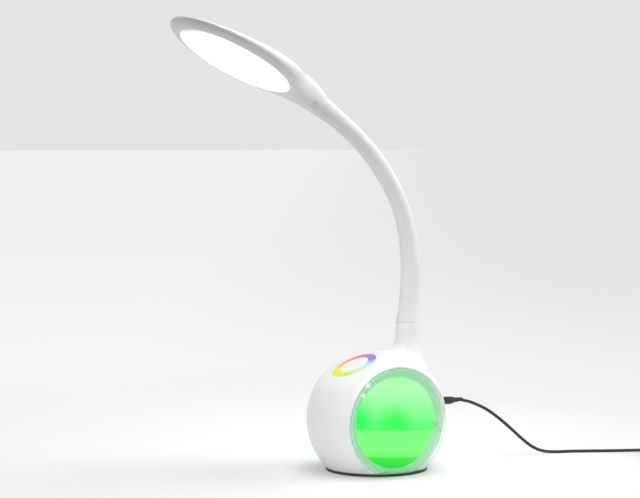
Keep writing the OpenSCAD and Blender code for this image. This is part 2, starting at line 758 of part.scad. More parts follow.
module head_ferrule() {
    color(steel_grey) at_head() difference() {
        translate([0, head_back + 8, head_neck_z]) rotate([90, 0, 0])
            cylinder(r = ferrule_r - 1.2, h = 34, $fn = bore_fn);
        translate([0, head_back + 9, head_neck_z]) rotate([90, 0, 0]) cylinder(r = spine_r, h = 36, $fn = bore_fn);
    }
}

module head_top_cover() {
    color(shell_white) at_head() difference() {
        head_half(0, true, 0, head_back);
        head_half(head_wall, true, 1, head_back - 30);
        neck_bore(ferrule_r - 1.2 + 0.05, 32);
    }
}

module head_bottom_cover() {
    color(shell_white) at_head() difference() {
        head_half(0, false, 0, head_back);
        // hollow behind the edge, with a lip round the light opening
        difference() {
            head_half(head_wall, false, 1, head_back - 30);
            translate([0, light_y, -under_h - 1]) cylinder(r = light_r + slip + head_wall, h = 20, $fn = 96);
        }
        translate([0, light_y, -under_h - 5]) cylinder(r = light_r + slip, h = 20, $fn = 96);
        neck_bore(ferrule_r - 1.2 + 0.05, 32);
        at_covers() translate([0, 0, head_neck_r - 1.6]) cylinder(r = cover_r + slip, h = 5, $fn = bore_fn);
        at_covers() cylinder(r = screw_r + slip, h = head_neck_r, $fn = 24);
    }
}

light_z = 0.3 - under_h;        // face of the diffuser, set in from the underside
guide_t = 1.6;

module head_diffuser() {
    color([1, 1, 0.96]) at_head() translate([0, light_y, light_z]) cylinder(r = light_r, h = diffuser_t, $fn = 96);
}

module light_guide() {
    color([0.85, 0.95, 1]) at_head() translate([0, light_y + 4, light_z + diffuser_t + slip])
        cylinder(r = light_r - 8, h = guide_t, $fn = 96);
}

module head_led_plate() {
    color(steel_grey) at_head() translate([0, light_y + 7, light_z + diffuser_t + guide_t + 2 * slip]) {
        cylinder(r = light_r - 15, h = 1, $fn = 96);
    }
}

module neck_screws() {
    color(steel_grey) at_head() at_covers() translate([0, 0, ferrule_r - 1.1])
        difference() {
            cylinder(r = screw_r, h = head_neck_r - 1.8 - ferrule_r + 1.1, $fn = 24);
            translate([0, 0, head_neck_r - 1.8 - ferrule_r + 0.5]) cylinder(r = 0.8, h = 2, $fn = 6);
        }
}

module screw_covers() {
    color(shell_white) at_head() intersection() {
        at_covers() translate([0, 0, head_neck_r - 1.5]) cylinder(r = cover_r, h = 4, $fn = bore_fn);
        translate([0, head_back + 5, head_neck_z]) rotate([90, 0, 0]) cylinder(r = head_neck_r, h = 50, $fn = 96);
    }
}

// ---- power lead ----

plug_l = 23;
plug_r = 4.1;

module dc_plug() {
    color(rubber_black) at_jack(jack_back_y + 0.6) rotate_extrude($fn = 48) polygon([
        [0, 0], [plug_r, 0], [plug_r, plug_l - 3], [plug_r - 0.6, plug_l],
        [2.9, plug_l + 1], [cord_d / 2 + 0.2, route[0][1] - jack_back_y - 0.6], [0, route[0][1] - jack_back_y - 0.6]]);
}

module dc_plug_tip() {
    color(steel_grey) at_jack(jack_back_y - 8) difference() {
        cylinder(r = 2.75, h = 8.6, $fn = bore_fn);
        translate([0, 0, -1]) cylinder(r = 1.05, h = 9, $fn = 24);
    }
}

module cord_run() {
    color(rubber_black) tube_along(smooth_line(route, 2), cord_d / 2, 8);
}

module cord_coil() {
    color(rubber_black) tube_along(coil_line, cord_d / 2, 6);
}

tie_at = 200;                   // direction of the tie from the coil's middle

module coil_tie() {
    width = coil_pitch * layer_turns + cord_d + 2 * seat;
    height = (layers - 1) * coil_pitch + cord_d + 2 * seat;
    color("dimgray") translate([coil_mid[0], coil_mid[1], coil_low_z - cord_d / 2 - seat]) rotate([0, 0, tie_at])
        translate([coil_mid_r - width / 2, 0, 0]) rotate([90, 0, 0])
            translate([0, 0, -3]) linear_extrude(6) difference() {
                translate([-tie_t, -tie_t + 0.1]) square([width + 2 * tie_t, height + 2 * tie_t - 0.1]);
                square([width, height]);
            }
}

module at_adapter() {
    translate(adapter_face) rotate([0, 0, end_heading]) children();
}

module adapter_relief() {
    color(rubber_black) at_adapter() rotate([0, -90, 0]) rotate_extrude($fn = 36)
        polygon([[0, 0], [4, 0], [3.6, 2], [cord_d / 2 + 0.3, relief_l], [0, relief_l]]);
}

module adapter_body() {
    c = 3;
    color(rubber_black) at_adapter() translate([0, 0, -adapter_h / 2]) hull() for (z = [0, adapter_h - 1])
        translate([0, 0, z]) linear_extrude(1) offset(r = z == 0 ? c - 1 : c, $fn = 32)
            translate([c, -adapter_w / 2 + c]) square([adapter_l - 2 * c, adapter_w - 2 * c]);
}

module adapter_pins() {
    color(steel_grey) at_adapter() for (y = [-pin_gap / 2, pin_gap / 2])
        translate([adapter_l - 12, y, adapter_h / 2]) cylinder(r = pin_r, h = pin_l, $fn = bore_fn);
}

least_gap = min([for (i = [0 : 2 : len(coil_line) - 1], j = [i + 12 : len(coil_line) - 1])
    norm(coil_line[i] - coil_line[j])]) - cord_d;
echo(coil_least_gap = least_gap, coil_length = turns * 2 * PI * coil_mid_r + lead_end,
     coil_mid = coil_mid, adapter_face = adapter_face, end_heading = end_heading, adapter_h = adapter_h);

foot_ring();
bottom_plate();
ballast_weight();
ballast_screws();
lower_shell();
upper_shell();
base_screws();
control_board();
touch_board();
colour_ring();
dc_jack();
for (side = sides) {
    dome(side);
    diffuser(side);
    light_tray(side);
    led_board(side);
}
neck_ferrule();
neck_nut();
arm_sleeve_foot();
arm_spine_foot();
for (i = [1 : links]) {
    arm_sleeve(i);
    arm_spine(i);
}
arm_sleeve_end();
arm_spine_end();
head_ferrule();
head_top_cover();
head_bottom_cover();
head_diffuser();
light_guide();
head_led_plate();
neck_screws();
screw_covers();
dc_plug();
dc_plug_tip();
cord_run();
cord_coil();
coil_tie();
adapter_relief();
adapter_body();
adapter_pins();
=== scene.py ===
import math

import bpy
from mathutils import Matrix, Vector


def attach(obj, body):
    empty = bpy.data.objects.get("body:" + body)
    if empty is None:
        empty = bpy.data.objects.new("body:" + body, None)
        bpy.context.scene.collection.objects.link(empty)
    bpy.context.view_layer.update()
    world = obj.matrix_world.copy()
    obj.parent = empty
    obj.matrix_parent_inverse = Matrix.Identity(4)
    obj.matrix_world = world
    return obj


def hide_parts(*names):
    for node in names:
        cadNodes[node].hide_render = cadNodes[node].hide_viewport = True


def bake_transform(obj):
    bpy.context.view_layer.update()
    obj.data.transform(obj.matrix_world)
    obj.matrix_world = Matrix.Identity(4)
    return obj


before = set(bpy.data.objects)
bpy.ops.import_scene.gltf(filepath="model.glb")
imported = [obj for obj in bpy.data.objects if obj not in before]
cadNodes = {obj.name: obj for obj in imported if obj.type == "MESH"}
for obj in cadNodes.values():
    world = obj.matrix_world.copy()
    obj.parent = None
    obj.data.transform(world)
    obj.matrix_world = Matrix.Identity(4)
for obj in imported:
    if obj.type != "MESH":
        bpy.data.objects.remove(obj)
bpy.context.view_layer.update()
mm = 0.001
mergeGap = 0.00001  # in metres: points closer together than this are one
print("lamp model loaded")


def deselect():
    if bpy.context.mode != "OBJECT":
        bpy.ops.object.mode_set(mode="OBJECT")
    bpy.ops.object.select_all(action="DESELECT")


def pick(obj):
    deselect()
    obj.select_set(True)
    bpy.context.view_layer.objects.active = obj


def settle(obj):  # the place goes into the mesh
    pick(obj)
    bpy.ops.object.transform_apply(location=True, rotation=True, scale=True)
    return obj


def named(name):
    obj = bpy.context.active_object
    obj.name = name
    obj.data.name = name
    return obj


def modify(obj, kind, **values):
    pick(obj)
    modifier = obj.modifiers.new(kind.lower(), kind)
    for key, value in values.items():
        setattr(modifier, key, value)
    bpy.ops.object.modifier_apply(modifier=modifier.name)


def softenEdges(obj, width, degrees=50):
    modify(obj, "BEVEL", width=width * mm, segments=2, limit_method="ANGLE", angle_limit=math.radians(degrees))


def editAll(obj):
    pick(obj)
    bpy.ops.object.mode_set(mode="EDIT")
    bpy.ops.mesh.select_all(action="SELECT")


def tidyMesh(obj):  # merges doubles and turns the faces outwards
    editAll(obj)
    bpy.ops.mesh.remove_doubles(threshold=mergeGap)
    bpy.ops.mesh.normals_make_consistent(inside=False)
    bpy.ops.object.mode_set(mode="OBJECT")
    return obj


def trim(obj, point, normal, cap=False):  # keeps what lies behind the plane
    editAll(obj)
    bpy.ops.mesh.bisect(plane_co=point, plane_no=normal, use_fill=cap, clear_outer=True)
    bpy.ops.object.mode_set(mode="OBJECT")


def smooth(obj, degrees):
    pick(obj)
    bpy.ops.object.shade_smooth_by_angle(angle=math.radians(degrees))
    return obj


def cut(obj, tool):
    modify(obj, "BOOLEAN", operation="DIFFERENCE", object=tool, solver="EXACT")
    bpy.data.objects.remove(tool, do_unlink=True)


def turned(name, profile, steps):  # one point drawn out along a profile, then spun round Z
    deselect()
    bpy.ops.mesh.primitive_plane_add(size=mm)
    obj = named(name)
    bpy.ops.object.mode_set(mode="EDIT")
    bpy.ops.mesh.select_all(action="SELECT")
    bpy.ops.mesh.merge(type="CENTER")
    bpy.ops.transform.translate(value=(profile[0][0] * mm, 0, profile[0][1] * mm))
    for (r0, z0), (r1, z1) in zip(profile, profile[1:]):
        step = ((r1 - r0) * mm, 0, (z1 - z0) * mm)
        bpy.ops.mesh.extrude_vertices_move(TRANSFORM_OT_translate={"value": step})
    bpy.ops.object.mode_set(mode="OBJECT")
    modify(obj, "SCREW", angle=math.tau, steps=steps, render_steps=steps, axis="Z",
           use_merge_vertices=True, merge_threshold=mergeGap)
    return tidyMesh(obj)


def shapedGrid(name, rows, columns, pointAt):  # a grid whose points are moved to pointAt(u, v)
    deselect()
    bpy.ops.mesh.primitive_grid_add(x_subdivisions=rows, y_subdivisions=columns, size=1)
    obj = named(name)
    for vertex in obj.data.vertices:
        x, y, z = pointAt(vertex.co.x + 0.5, vertex.co.y + 0.5)
        vertex.co = (x * mm, y * mm, z * mm)
    return obj


def moved(obj, matrix):
    obj.matrix_world = matrix @ obj.matrix_world
    settle(obj)


def ease(u):  # 0 to 1 with soft ends
    u = min(max(u, 0), 1)
    return u * u * (3 - 2 * u)


def drawnCurve(name, points, thickness, resolution):  # a tube through points that each have their own radius
    deselect()
    bpy.ops.curve.primitive_nurbs_path_add()
    curve = named(name)
    curve.data.splines.clear()
    spline = curve.data.splines.new("POLY")
    spline.points.add(len(points) - 1)
    for target, (p, radius) in zip(spline.points, points):
        target.co = (p.x * mm, p.y * mm, p.z * mm, 1)
        target.radius = radius
    spline.use_smooth = True
    curve.data.dimensions = "3D"
    curve.data.twist_mode = "MINIMUM"
    curve.data.bevel_depth = thickness  # times each point's radius
    curve.data.bevel_resolution = resolution
    curve.data.use_fill_caps = True
    return curve


# all sizes in mm
ball = {"radius": 75.5, "height": 55, "wall": 2.4, "footHeight": 3, "windowX": 45.5, "domeWall": 3,
        "seamGap": 0.05, "domeGap": 0.1, "edge": 0.25}
crown = {"tilt": 25, "height": 66.4, "radius": 300, "soft": 3}  # the flatter top that carries the colour ring
neck = {"back": 40.5, "topZ": 158, "topRadius": 13.5, "radius": 14, "spreadZ": 144, "spread": 14}
shellGrid = {"around": 144, "neckRows": 16, "ballRows": 44}
jack = {"radius": 5.1, "depth": 12, "back": 72, "height": 68}
arm = {"lean": 4, "bends": [0, 6, 8, 11, 10, 7, 8, 6, 5], "lengths": [32] + [30] * 7 + [33],
       "radii": [11, 10.6, 9.9, 9.6, 9.5, 9.5, 9.5, 9.5], "footRadius": 13.3, "endRadius": 11.3,
       "footFlare": 2.2, "endFlare": 1.3, "steps": 14, "seamGap": 0.25, "blendReach": 13}
head = {"radius": 75, "tilt": 30.7, "back": 114.5, "neckZ": 6.7, "neckRadius": 11.5, "fillet": 60,
        "tip": 3, "peak": 27, "peakY": 130, "knee": 26.5, "neckFrom": 30, "rollFrom": 20, "rollOver": 40,
        "seam": 1.8, "lightRadius": 63, "lightY": 2.6, "under": 4.5, "edge": 14, "topWall": 1.0,
        "bottomWall": 1.4, "rows": 72, "columns": 110}
screwWell = {"radius": 4.1, "depth": 8, "out": 13.9, "fromEnd": 13, "turn": 114}
lead = {"diameter": 3.5, "midRadius": 20, "turnsPerLayer": 2.5625, "layers": 4, "gap": 0.5, "end": 10,
        "heading": 60, "stepsPerTurn": 48, "stepsPerPoint": 6,
        "route": [(0, 110, 67), (0, 120, 64.5), (0, 131, 60), (0, 143, 54), (0, 155, 46), (1, 167, 36.5),
                  (2, 178, 27), (3, 189, 17.5), (5, 200, 9), (8, 212, 3.5), (12, 226, 1.8), (18, 243, 1.8),
                  (26, 260, 1.8), (35, 278, 1.8), (45, 296, 2), (54, 312, 2.3), (63, 327, 2.7),
                  (70, 339, 2.7), (72, 342.5, 2.7)]}


view = {"azimuth": 59.12, "distance": 2500, "height": 416.5, "roll": -0.2, "yaw": -1.38, "pitch": -4.08,
        "lens": 131.28, "sensor": 36, "clip": (0.1, 30)}  # angles in degrees


def makeCamera():
    a, yaw = math.radians(view["azimuth"]), math.radians(view["yaw"])
    pitch, roll = math.radians(view["pitch"]), math.radians(view["roll"])
    stand = Vector((math.sin(a) * view["distance"], -math.cos(a) * view["distance"], view["height"])) * mm
    ahead, right = Vector((-math.sin(a), math.cos(a), 0)), Vector((math.cos(a), math.sin(a), 0))
    up = Vector((0, 0, 1))
    turnedAhead = ahead * math.cos(yaw) + right * math.sin(yaw)
    turnedRight = right * math.cos(yaw) - ahead * math.sin(yaw)
    tippedAhead = turnedAhead * math.cos(pitch) + up * math.sin(pitch)
    tippedUp = up * math.cos(pitch) - turnedAhead * math.sin(pitch)
    sideways = turnedRight * math.cos(roll) + tippedUp * math.sin(roll)
    upwards = tippedUp * math.cos(roll) - turnedRight * math.sin(roll)
    deselect()
    bpy.ops.object.camera_add()
    camera = named("camera")
    facing = Matrix((sideways, upwards, -tippedAhead)).transposed().to_4x4()
    camera.matrix_world = Matrix.Translation(stand) @ facing
    camera.data.lens, camera.data.sensor_width = view["lens"], view["sensor"]
    camera.data.clip_start, camera.data.clip_end = view["clip"]
    bpy.context.scene.camera = camera


makeCamera()
print("camera in place")


def leadCoil():  # spirals in and out a layer at a time, climbing where it turns back
    pitch, perLayer = lead["diameter"] + lead["gap"], lead["turnsPerLayer"]
    outer = lead["midRadius"] + pitch * perLayer / 2
    turns, heading, start = lead["layers"] * perLayer, lead["heading"], lead["route"][-1]
    middle = (start[0] + outer * math.sin(math.radians(heading)),
              start[1] - outer * math.cos(math.radians(heading)))

    def point(t):
        layer = math.floor(t / perLayer)
        inward = t - layer * perLayer if layer % 2 == 0 else perLayer - (t - layer * perLayer)
        climb = sum(ease((t - k * perLayer + 0.25) / 0.5) for k in range(1, lead["layers"]))
        radius, angle = outer - pitch * inward, math.radians(heading + 90 - 360 * t)
        return Vector((middle[0] + radius * math.cos(angle), middle[1] + radius * math.sin(angle),
                       start[2] + pitch * climb))

    steps = lead["stepsPerTurn"]
    points = [point(i / steps) for i in range(1, int(turns * steps) + 1)]
    angle = math.radians(heading - 360 * turns)
    way = Vector((math.cos(angle), math.sin(angle), 0))
    return points + [points[-1] + way * s for s in (2, 4, 6, 8, lead["end"])], way


def leadPoints():  # one smooth curve through the route, and the coil after it
    route, steps = [Vector(p) for p in lead["route"]], lead["stepsPerPoint"]
    points = []
    for i in range(len(route) - 1):
        a, b, c, d = route[max(i - 1, 0)], route[i], route[i + 1], route[min(i + 2, len(route) - 1)]
        for j in range(steps):
            u = j / steps
            points.append(0.5 * (2 * b + (c - a) * u + (2 * a - 5 * b + 4 * c - d) * u * u
                                 + (3 * b - a - 3 * c + d) * u * u * u))
    coil, way = leadCoil()
    return points + [route[-1]] + coil, way


def makeLead():
    points, way = leadPoints()
    radius = lead["diameter"] * mm / 2  # in the points themselves, because it counts in the curve's box
    cord = drawnCurve("powerLead", [(p, radius) for p in points], 1, 3)
    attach(cord, "base")
    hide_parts("cord_run", "cord_coil")
    return cord, points[-1], way


powerLead, leadTip, leadWay = makeLead()
print("power lead laid")


def newGroup(name, inputs, outputs):
    group = bpy.data.node_groups.new(name, "ShaderNodeTree")
    for label, kind, value in inputs:
        socket = group.interface.new_socket(name=label, in_out="INPUT", socket_type=kind)
        if value is not None:
            socket.default_value = value
    for label, kind in outputs:
        group.interface.new_socket(name=label, in_out="OUTPUT", socket_type=kind)
    return group, group.nodes.new("NodeGroupInput"), group.nodes.new("NodeGroupOutput")


def grainGroup():  # the fine texture that a mould or a coating leaves
    group, given, out = newGroup(
        "mouldGrain", [("Vector", "NodeSocketVector", None), ("Scale", "NodeSocketFloat", 1500.0),
                       ("Soft", "NodeSocketFloat", 0.5)], [("Height", "NodeSocketFloat")])
    fine, broad = group.nodes.new("ShaderNodeTexNoise"), group.nodes.new("ShaderNodeTexNoise")
    mix, broadScale = group.nodes.new("ShaderNodeMix"), group.nodes.new("ShaderNodeMath")
    broadScale.operation, broadScale.inputs[1].default_value = "MULTIPLY", 0.13  # about 8 times as coarse
    fine.inputs["Detail"].default_value, broad.inputs["Detail"].default_value = 3, 2
    link = group.links.new
    link(given.outputs["Vector"], fine.inputs["Vector"])
    link(given.outputs["Vector"], broad.inputs["Vector"])
    link(given.outputs["Scale"], fine.inputs["Scale"])
    link(given.outputs["Scale"], broadScale.inputs[0])
    link(broadScale.outputs[0], broad.inputs["Scale"])
    link(given.outputs["Soft"], mix.inputs[0])
    link(fine.outputs["Fac"], mix.inputs[2])
    link(broad.outputs["Fac"], mix.inputs[3])
    link(mix.outputs[0], out.inputs["Height"])
    return group


def handledGroup():  # faint uneven sheen where hands and cloths have been
    group, given, out = newGroup(
        "handledSheen", [("Vector", "NodeSocketVector", None), ("Scale", "NodeSocketFloat", 25.0),
                         ("Low", "NodeSocketFloat", 0.25), ("High", "NodeSocketFloat", 0.35)],
        [("Value", "NodeSocketFloat")])
    noise, spread = group.nodes.new("ShaderNodeTexNoise"), group.nodes.new("ShaderNodeMapRange")
    noise.inputs["Detail"].default_value, noise.inputs["Distortion"].default_value = 6, 0.6
    spread.inputs["From Min"].default_value, spread.inputs["From Max"].default_value = 0.3, 0.7
    link = group.links.new
    link(given.outputs["Vector"], noise.inputs["Vector"])
    link(given.outputs["Scale"], noise.inputs["Scale"])
    link(noise.outputs["Fac"], spread.inputs["Value"])
    link(given.outputs["Low"], spread.inputs["To Min"])
    link(given.outputs["High"], spread.inputs["To Max"])
    link(spread.outputs["Result"], out.inputs["Value"])
    return group


def tintGroup():  # one colour drifting a little towards another
    group, given, out = newGroup(
        "driftingTint", [("Vector", "NodeSocketVector", None), ("Scale", "NodeSocketFloat", 12.0),
                         ("Main", "NodeSocketColor", (1, 1, 1, 1)),
                         ("Other", "NodeSocketColor", (0.9, 0.9, 0.9, 1))], [("Color", "NodeSocketColor")])
    noise, mix = group.nodes.new("ShaderNodeTexNoise"), group.nodes.new("ShaderNodeMix")
    mix.data_type = "RGBA"
    noise.inputs["Detail"].default_value = 4
    link = group.links.new
    link(given.outputs["Vector"], noise.inputs["Vector"])
    link(given.outputs["Scale"], noise.inputs["Scale"])
    link(noise.outputs["Fac"], mix.inputs[0])
    link(given.outputs["Main"], mix.inputs[6])
    link(given.outputs["Other"], mix.inputs[7])
    link(mix.outputs[2], out.inputs["Color"])
    return group


mouldGrain, handledSheen, driftingTint = grainGroup(), handledGroup(), tintGroup()


def addNode(material, kind, **values):
    node = material.node_tree.nodes.new(kind)
    for key, value in values.items():
        setattr(node, key, value)
    return node


def findCoordinates(material):
    return material.node_tree.nodes["Coordinates"]


def addGroup(material, group, **values):
    node = addNode(material, "ShaderNodeGroup", node_tree=group)
    for key, value in values.items():
        node.inputs[key].default_value = value
    material.node_tree.links.new(findCoordinates(material).outputs["Object"], node.inputs["Vector"])
    return node


def makeFinish(name, main, other, sheen, grain, bump, tintScale=12, sheenScale=25, **shader):
    material = bpy.data.materials.new(name)
    material.use_nodes = True
    surface = material.node_tree.nodes["Principled BSDF"]
    addNode(material, "ShaderNodeTexCoord", name="Coordinates")
    link = material.node_tree.links.new
    tint = addGroup(material, driftingTint, Scale=tintScale, Main=(*main, 1), Other=(*other, 1))
    uneven = addGroup(material, handledSheen, Scale=sheenScale, Low=sheen[0], High=sheen[1])
    texture = addGroup(material, mouldGrain, Scale=grain, Soft=0.4)
    raised = addNode(material, "ShaderNodeBump")
    raised.inputs["Strength"].default_value = bump[0]
    raised.inputs["Distance"].default_value = bump[1] * mm
    link(tint.outputs["Color"], surface.inputs["Base Color"])
    link(uneven.outputs["Value"], surface.inputs["Roughness"])
    link(texture.outputs["Height"], raised.inputs["Height"])
    link(raised.outputs["Normal"], surface.inputs["Normal"])
    for key, value in shader.items():
        surface.inputs[key.replace("_", " ")].default_value = value
    return material


# name, main and other colour, roughness from and to, grain, and strength and depth of its bump in mm
shellWhite = makeFinish("glossWhite", (0.9, 0.9, 0.9), (0.875, 0.875, 0.88), (0.285, 0.34), 900, (0.05, 0.05),
                    Coat_Weight=0.2, Coat_Roughness=0.16)
sleeveWhite = makeFinish("softWhiteSleeve", (0.88, 0.88, 0.885), (0.85, 0.85, 0.86), (0.42, 0.55), 2600,
                     (0.12, 0.06))
innerWhite = makeFinish("innerWhite", (0.84, 0.87, 0.84), (0.8, 0.83, 0.8), (0.35, 0.45), 1400, (0.1, 0.05))
blackRubber = makeFinish("blackRubber", (0.022, 0.022, 0.024), (0.035, 0.035, 0.038), (0.5, 0.68), 2200,
                     (0.25, 0.08))
blackPlastic = makeFinish("blackPlastic", (0.025, 0.025, 0.027), (0.03, 0.03, 0.033), (0.38, 0.5), 3200,
                      (0.35, 0.1))
boardGreen = makeFinish("boardGreen", (0.05, 0.23, 0.1), (0.04, 0.18, 0.08), (0.28, 0.4), 700,
                    (0.1, 0.05), tintScale=160)
steel = makeFinish("turnedSteel", (0.62, 0.62, 0.64), (0.52, 0.52, 0.54), (0.22, 0.38), 1800,
               (0.12, 0.04), Metallic=1.0)
ledPlate = makeFinish("rolledAluminium", (0.7, 0.7, 0.72), (0.64, 0.64, 0.66), (0.3, 0.42), 1500,
                  (0.1, 0.04), Metallic=1.0)
boardWhite = makeFinish("boardWhite", (0.85, 0.85, 0.8), (0.78, 0.78, 0.74), (0.3, 0.42), 900,
                    (0.08, 0.04), tintScale=90)
clearDome = makeFinish("clearDome", (0.93, 1.0, 0.96), (0.9, 1.0, 0.94), (0.015, 0.04), 500, (0.02, 0.02),
                   Transmission_Weight=1.0, IOR=1.38)
# the tray is white; its green-tinted base colour and its emission are painted green light from the disc
trayPaintedGreenLight = makeFinish("trayPaintedGreenLight", (0.55, 0.84, 0.62), (0.66, 0.9, 0.72), (0.3, 0.4), 1400,
                   (0.1, 0.05), Emission_Strength=1.0)
# the frosted cut edge of each dome; its teal tint and emission are a painted glow of the green light caught in it
domeEdgePaintedGlow = makeFinish("frostedEdgePaintedGlow", (0.72, 0.88, 0.82), (0.62, 0.8, 0.75), (0.3, 0.4), 1200, (0.1, 0.05),
                  Emission_Color=(0.55, 0.8, 0.72, 1), Emission_Strength=0.5)
clearGuide = makeFinish("clearGuide", (0.95, 0.98, 1.0), (0.92, 0.97, 1.0), (0.05, 0.1), 500, (0.05, 0.02),
                    Transmission_Weight=1.0, IOR=1.49)


def rampNode(material, stops):
    ramp = addNode(material, "ShaderNodeValToRGB")
    elements = ramp.color_ramp.elements
    while len(elements) < len(stops):
        elements.new(0.5)
    for element, (at, colour) in zip(elements, stops):
        element.position = at
        element.color = (*colour, 1)
    return ramp


# the glow is the disc's own light, darker and deeper green towards the bottom; the dark band at 0.423 to 0.429 is
# a painted reflection of the shells' level line, and the patches are painted reflection too
greenGlow = {"strength": 1.0, "low": 5, "high": 105, "slope": 0.08, "line": 0.426, "paintedSpillReach": 60,
             "stops": [(0.0, (0.0, 0.62, 0.02)), (0.09, (0.0, 0.74, 0.0)), (0.123, (0.0, 0.76, 0.0)),
                       (0.155, (0.17, 1.0, 0.15)), (0.255, (0.21, 1.0, 0.19)), (0.387, (0.18, 1.0, 0.18)),
                       (0.423, (0.18, 1.0, 0.18)), (0.429, (0.05, 0.9, 0.12)), (0.53, (0.15, 1.0, 0.21)),
                       (0.75, (0.38, 1.0, 0.4)), (0.916, (0.5, 1.0, 0.5)), (1.0, (0.22, 1.0, 0.3))],
             "paintedReflectionGreen": (0.0, 0.92, 0.07),
             "paintedSpill": [(0.0, (0.22, 0.26, 0.24)), (0.05, (0.06, 0.16, 0.08)), (0.15, (0.0, 0.16, 0.02))],
             "paintedReflectionPatches": [((-4, 46), (30, 36)), ((-47, 54), (24, 38))]}  # middle and reach in y and z


def patchGroup():  # 1 in the middle of a soft oval, 0 at its edge
    group, given, out = newGroup(
        "softPatch", [("Vector", "NodeSocketVector", None), ("Middle", "NodeSocketVector", None),
                      ("Reach", "NodeSocketVector", (1, 1, 1))], [("Value", "NodeSocketFloat")])
    spot, fade = group.nodes.new("ShaderNodeTexGradient"), group.nodes.new("ShaderNodeMapRange")
    turnedTo = group.nodes.new("ShaderNodeMapping")
    turnedTo.vector_type, spot.gradient_type, fade.interpolation_type = "TEXTURE", "SPHERICAL", "SMOOTHSTEP"
    link = group.links.new
    link(given.outputs["Vector"], turnedTo.inputs["Vector"])
    link(given.outputs["Middle"], turnedTo.inputs["Location"])
    link(given.outputs["Reach"], turnedTo.inputs["Scale"])
    link(turnedTo.outputs["Vector"], spot.inputs["Vector"])
    fade.inputs["From Max"].default_value = 0.8
    link(spot.outputs["Fac"], fade.inputs["Value"])
    link(fade.outputs["Result"], out.inputs["Value"])
    return group


softPatch = patchGroup()


def makeGreenLight():  # lit from behind; the level line of the shells is a painted reflection in its glow, and the deeper-green patches above it are painted reflection too
    material = makeFinish("greenLight", (0.0, 0.15, 0.02), (0.0, 0.12, 0.02), (0.4, 0.5), 1200, (0.05, 0.05),
                      Specular_IOR_Level=0.15)
    surface = material.node_tree.nodes["Principled BSDF"]
    link = material.node_tree.links.new
    split = addNode(material, "ShaderNodeSeparateXYZ")
    level = addNode(material, "ShaderNodeMath", operation="MULTIPLY_ADD")
    level.inputs[1].default_value = greenGlow["slope"]
    link(findCoordinates(material).outputs["Object"], split.inputs[0])
    link(split.outputs["Y"], level.inputs[0])
    link(split.outputs["Z"], level.inputs[2])
    height = addNode(material, "ShaderNodeMapRange")
    height.inputs["From Min"].default_value = greenGlow["low"] * mm
    height.inputs["From Max"].default_value = greenGlow["high"] * mm
    link(level.outputs[0], height.inputs["Value"])
    ramp = rampNode(material, greenGlow["stops"])
    link(height.outputs["Result"], ramp.inputs["Fac"])
    above = addNode(material, "ShaderNodeMath", operation="GREATER_THAN")
    above.inputs[1].default_value = greenGlow["line"]  # the painted deeper-green reflection patches end at the painted level line
    link(height.outputs["Result"], above.inputs[0])
    colour = ramp.outputs["Color"]
    for (y, z), (wide, high) in greenGlow["paintedReflectionPatches"]:
        patch = addGroup(material, softPatch, Middle=(0, y * mm, z * mm), Reach=(1, wide * mm, high * mm))
        share = addNode(material, "ShaderNodeMath", operation="MULTIPLY")
        paintedReflectionMix = addNode(material, "ShaderNodeMix", data_type="RGBA")
        paintedReflectionMix.inputs[7].default_value = (*greenGlow["paintedReflectionGreen"], 1)
        link(patch.outputs["Value"], share.inputs[0])
        link(above.outputs[0], share.inputs[1])
        link(share.outputs[0], paintedReflectionMix.inputs[0])
        link(colour, paintedReflectionMix.inputs[6])
        colour = paintedReflectionMix.outputs[2]
    link(colour, surface.inputs["Emission Color"])
    surface.inputs["Emission Strength"].default_value = greenGlow["strength"]
    return material


def paintGreenLightOnTray():  # painted green light: the tray glows green by emission round the disc, in place of the disc's light falling on it
    link = trayPaintedGreenLight.node_tree.links.new
    reach = greenGlow["paintedSpillReach"] * mm
    patch = addGroup(trayPaintedGreenLight, softPatch, Middle=(0, 0, ball["height"] * mm), Reach=(1, reach, reach))
    paintedSpill = rampNode(trayPaintedGreenLight, greenGlow["paintedSpill"])
    link(patch.outputs["Value"], paintedSpill.inputs["Fac"])
    link(paintedSpill.outputs["Color"], trayPaintedGreenLight.node_tree.nodes["Principled BSDF"].inputs["Emission Color"])


paintGreenLightOnTray()


ringLook = {"inner": 16.5, "outer": 25, "thick": 1.4, "gap": 0.2, "bevel": 0.2, "clear": 80,
            "stops": [(0.0, (1.0, 0.32, 0.22)), (0.04, (1.0, 0.55, 0.08)), (0.09, (1.0, 0.84, 0.01)),
                      (0.27, (0.82, 0.88, 0.0)), (0.35, (0.5, 0.86, 0.08)), (0.43, (0.6, 0.88, 0.66)),
                      (0.55, (0.55, 0.82, 0.82)), (0.63, (0.2, 0.28, 0.65)), (0.7, (0.25, 0.17, 0.6)),
                      (0.79, (0.6, 0.16, 0.5)), (0.9, (0.85, 0.11, 0.24)), (1.0, (1.0, 0.32, 0.22))]}


def makeRingColours():  # hues run once round the ring's own axis
    material = makeFinish("rainbowRing", (1, 1, 1), (1, 1, 1), (0.285, 0.34), 700, (0.04, 0.04),
                      Coat_Weight=0.1, Coat_Roughness=0.1, Specular_IOR_Level=0.25)
    surface = material.node_tree.nodes["Principled BSDF"]
    link = material.node_tree.links.new
    turnedTo = addNode(material, "ShaderNodeMapping", vector_type="TEXTURE")
    turnedTo.inputs["Location"].default_value = (0, 0, ball["height"] * mm)
    turnedTo.inputs["Rotation"].default_value = (math.radians(crown["tilt"]), 0, 0)
    sweep = addNode(material, "ShaderNodeTexGradient", gradient_type="RADIAL")
    ramp = rampNode(material, ringLook["stops"])
    link(findCoordinates(material).outputs["Object"], turnedTo.inputs["Vector"])
    link(turnedTo.outputs["Vector"], sweep.inputs["Vector"])
    link(sweep.outputs["Fac"], ramp.inputs["Fac"])
    link(ramp.outputs["Color"], surface.inputs["Base Color"])
    return material


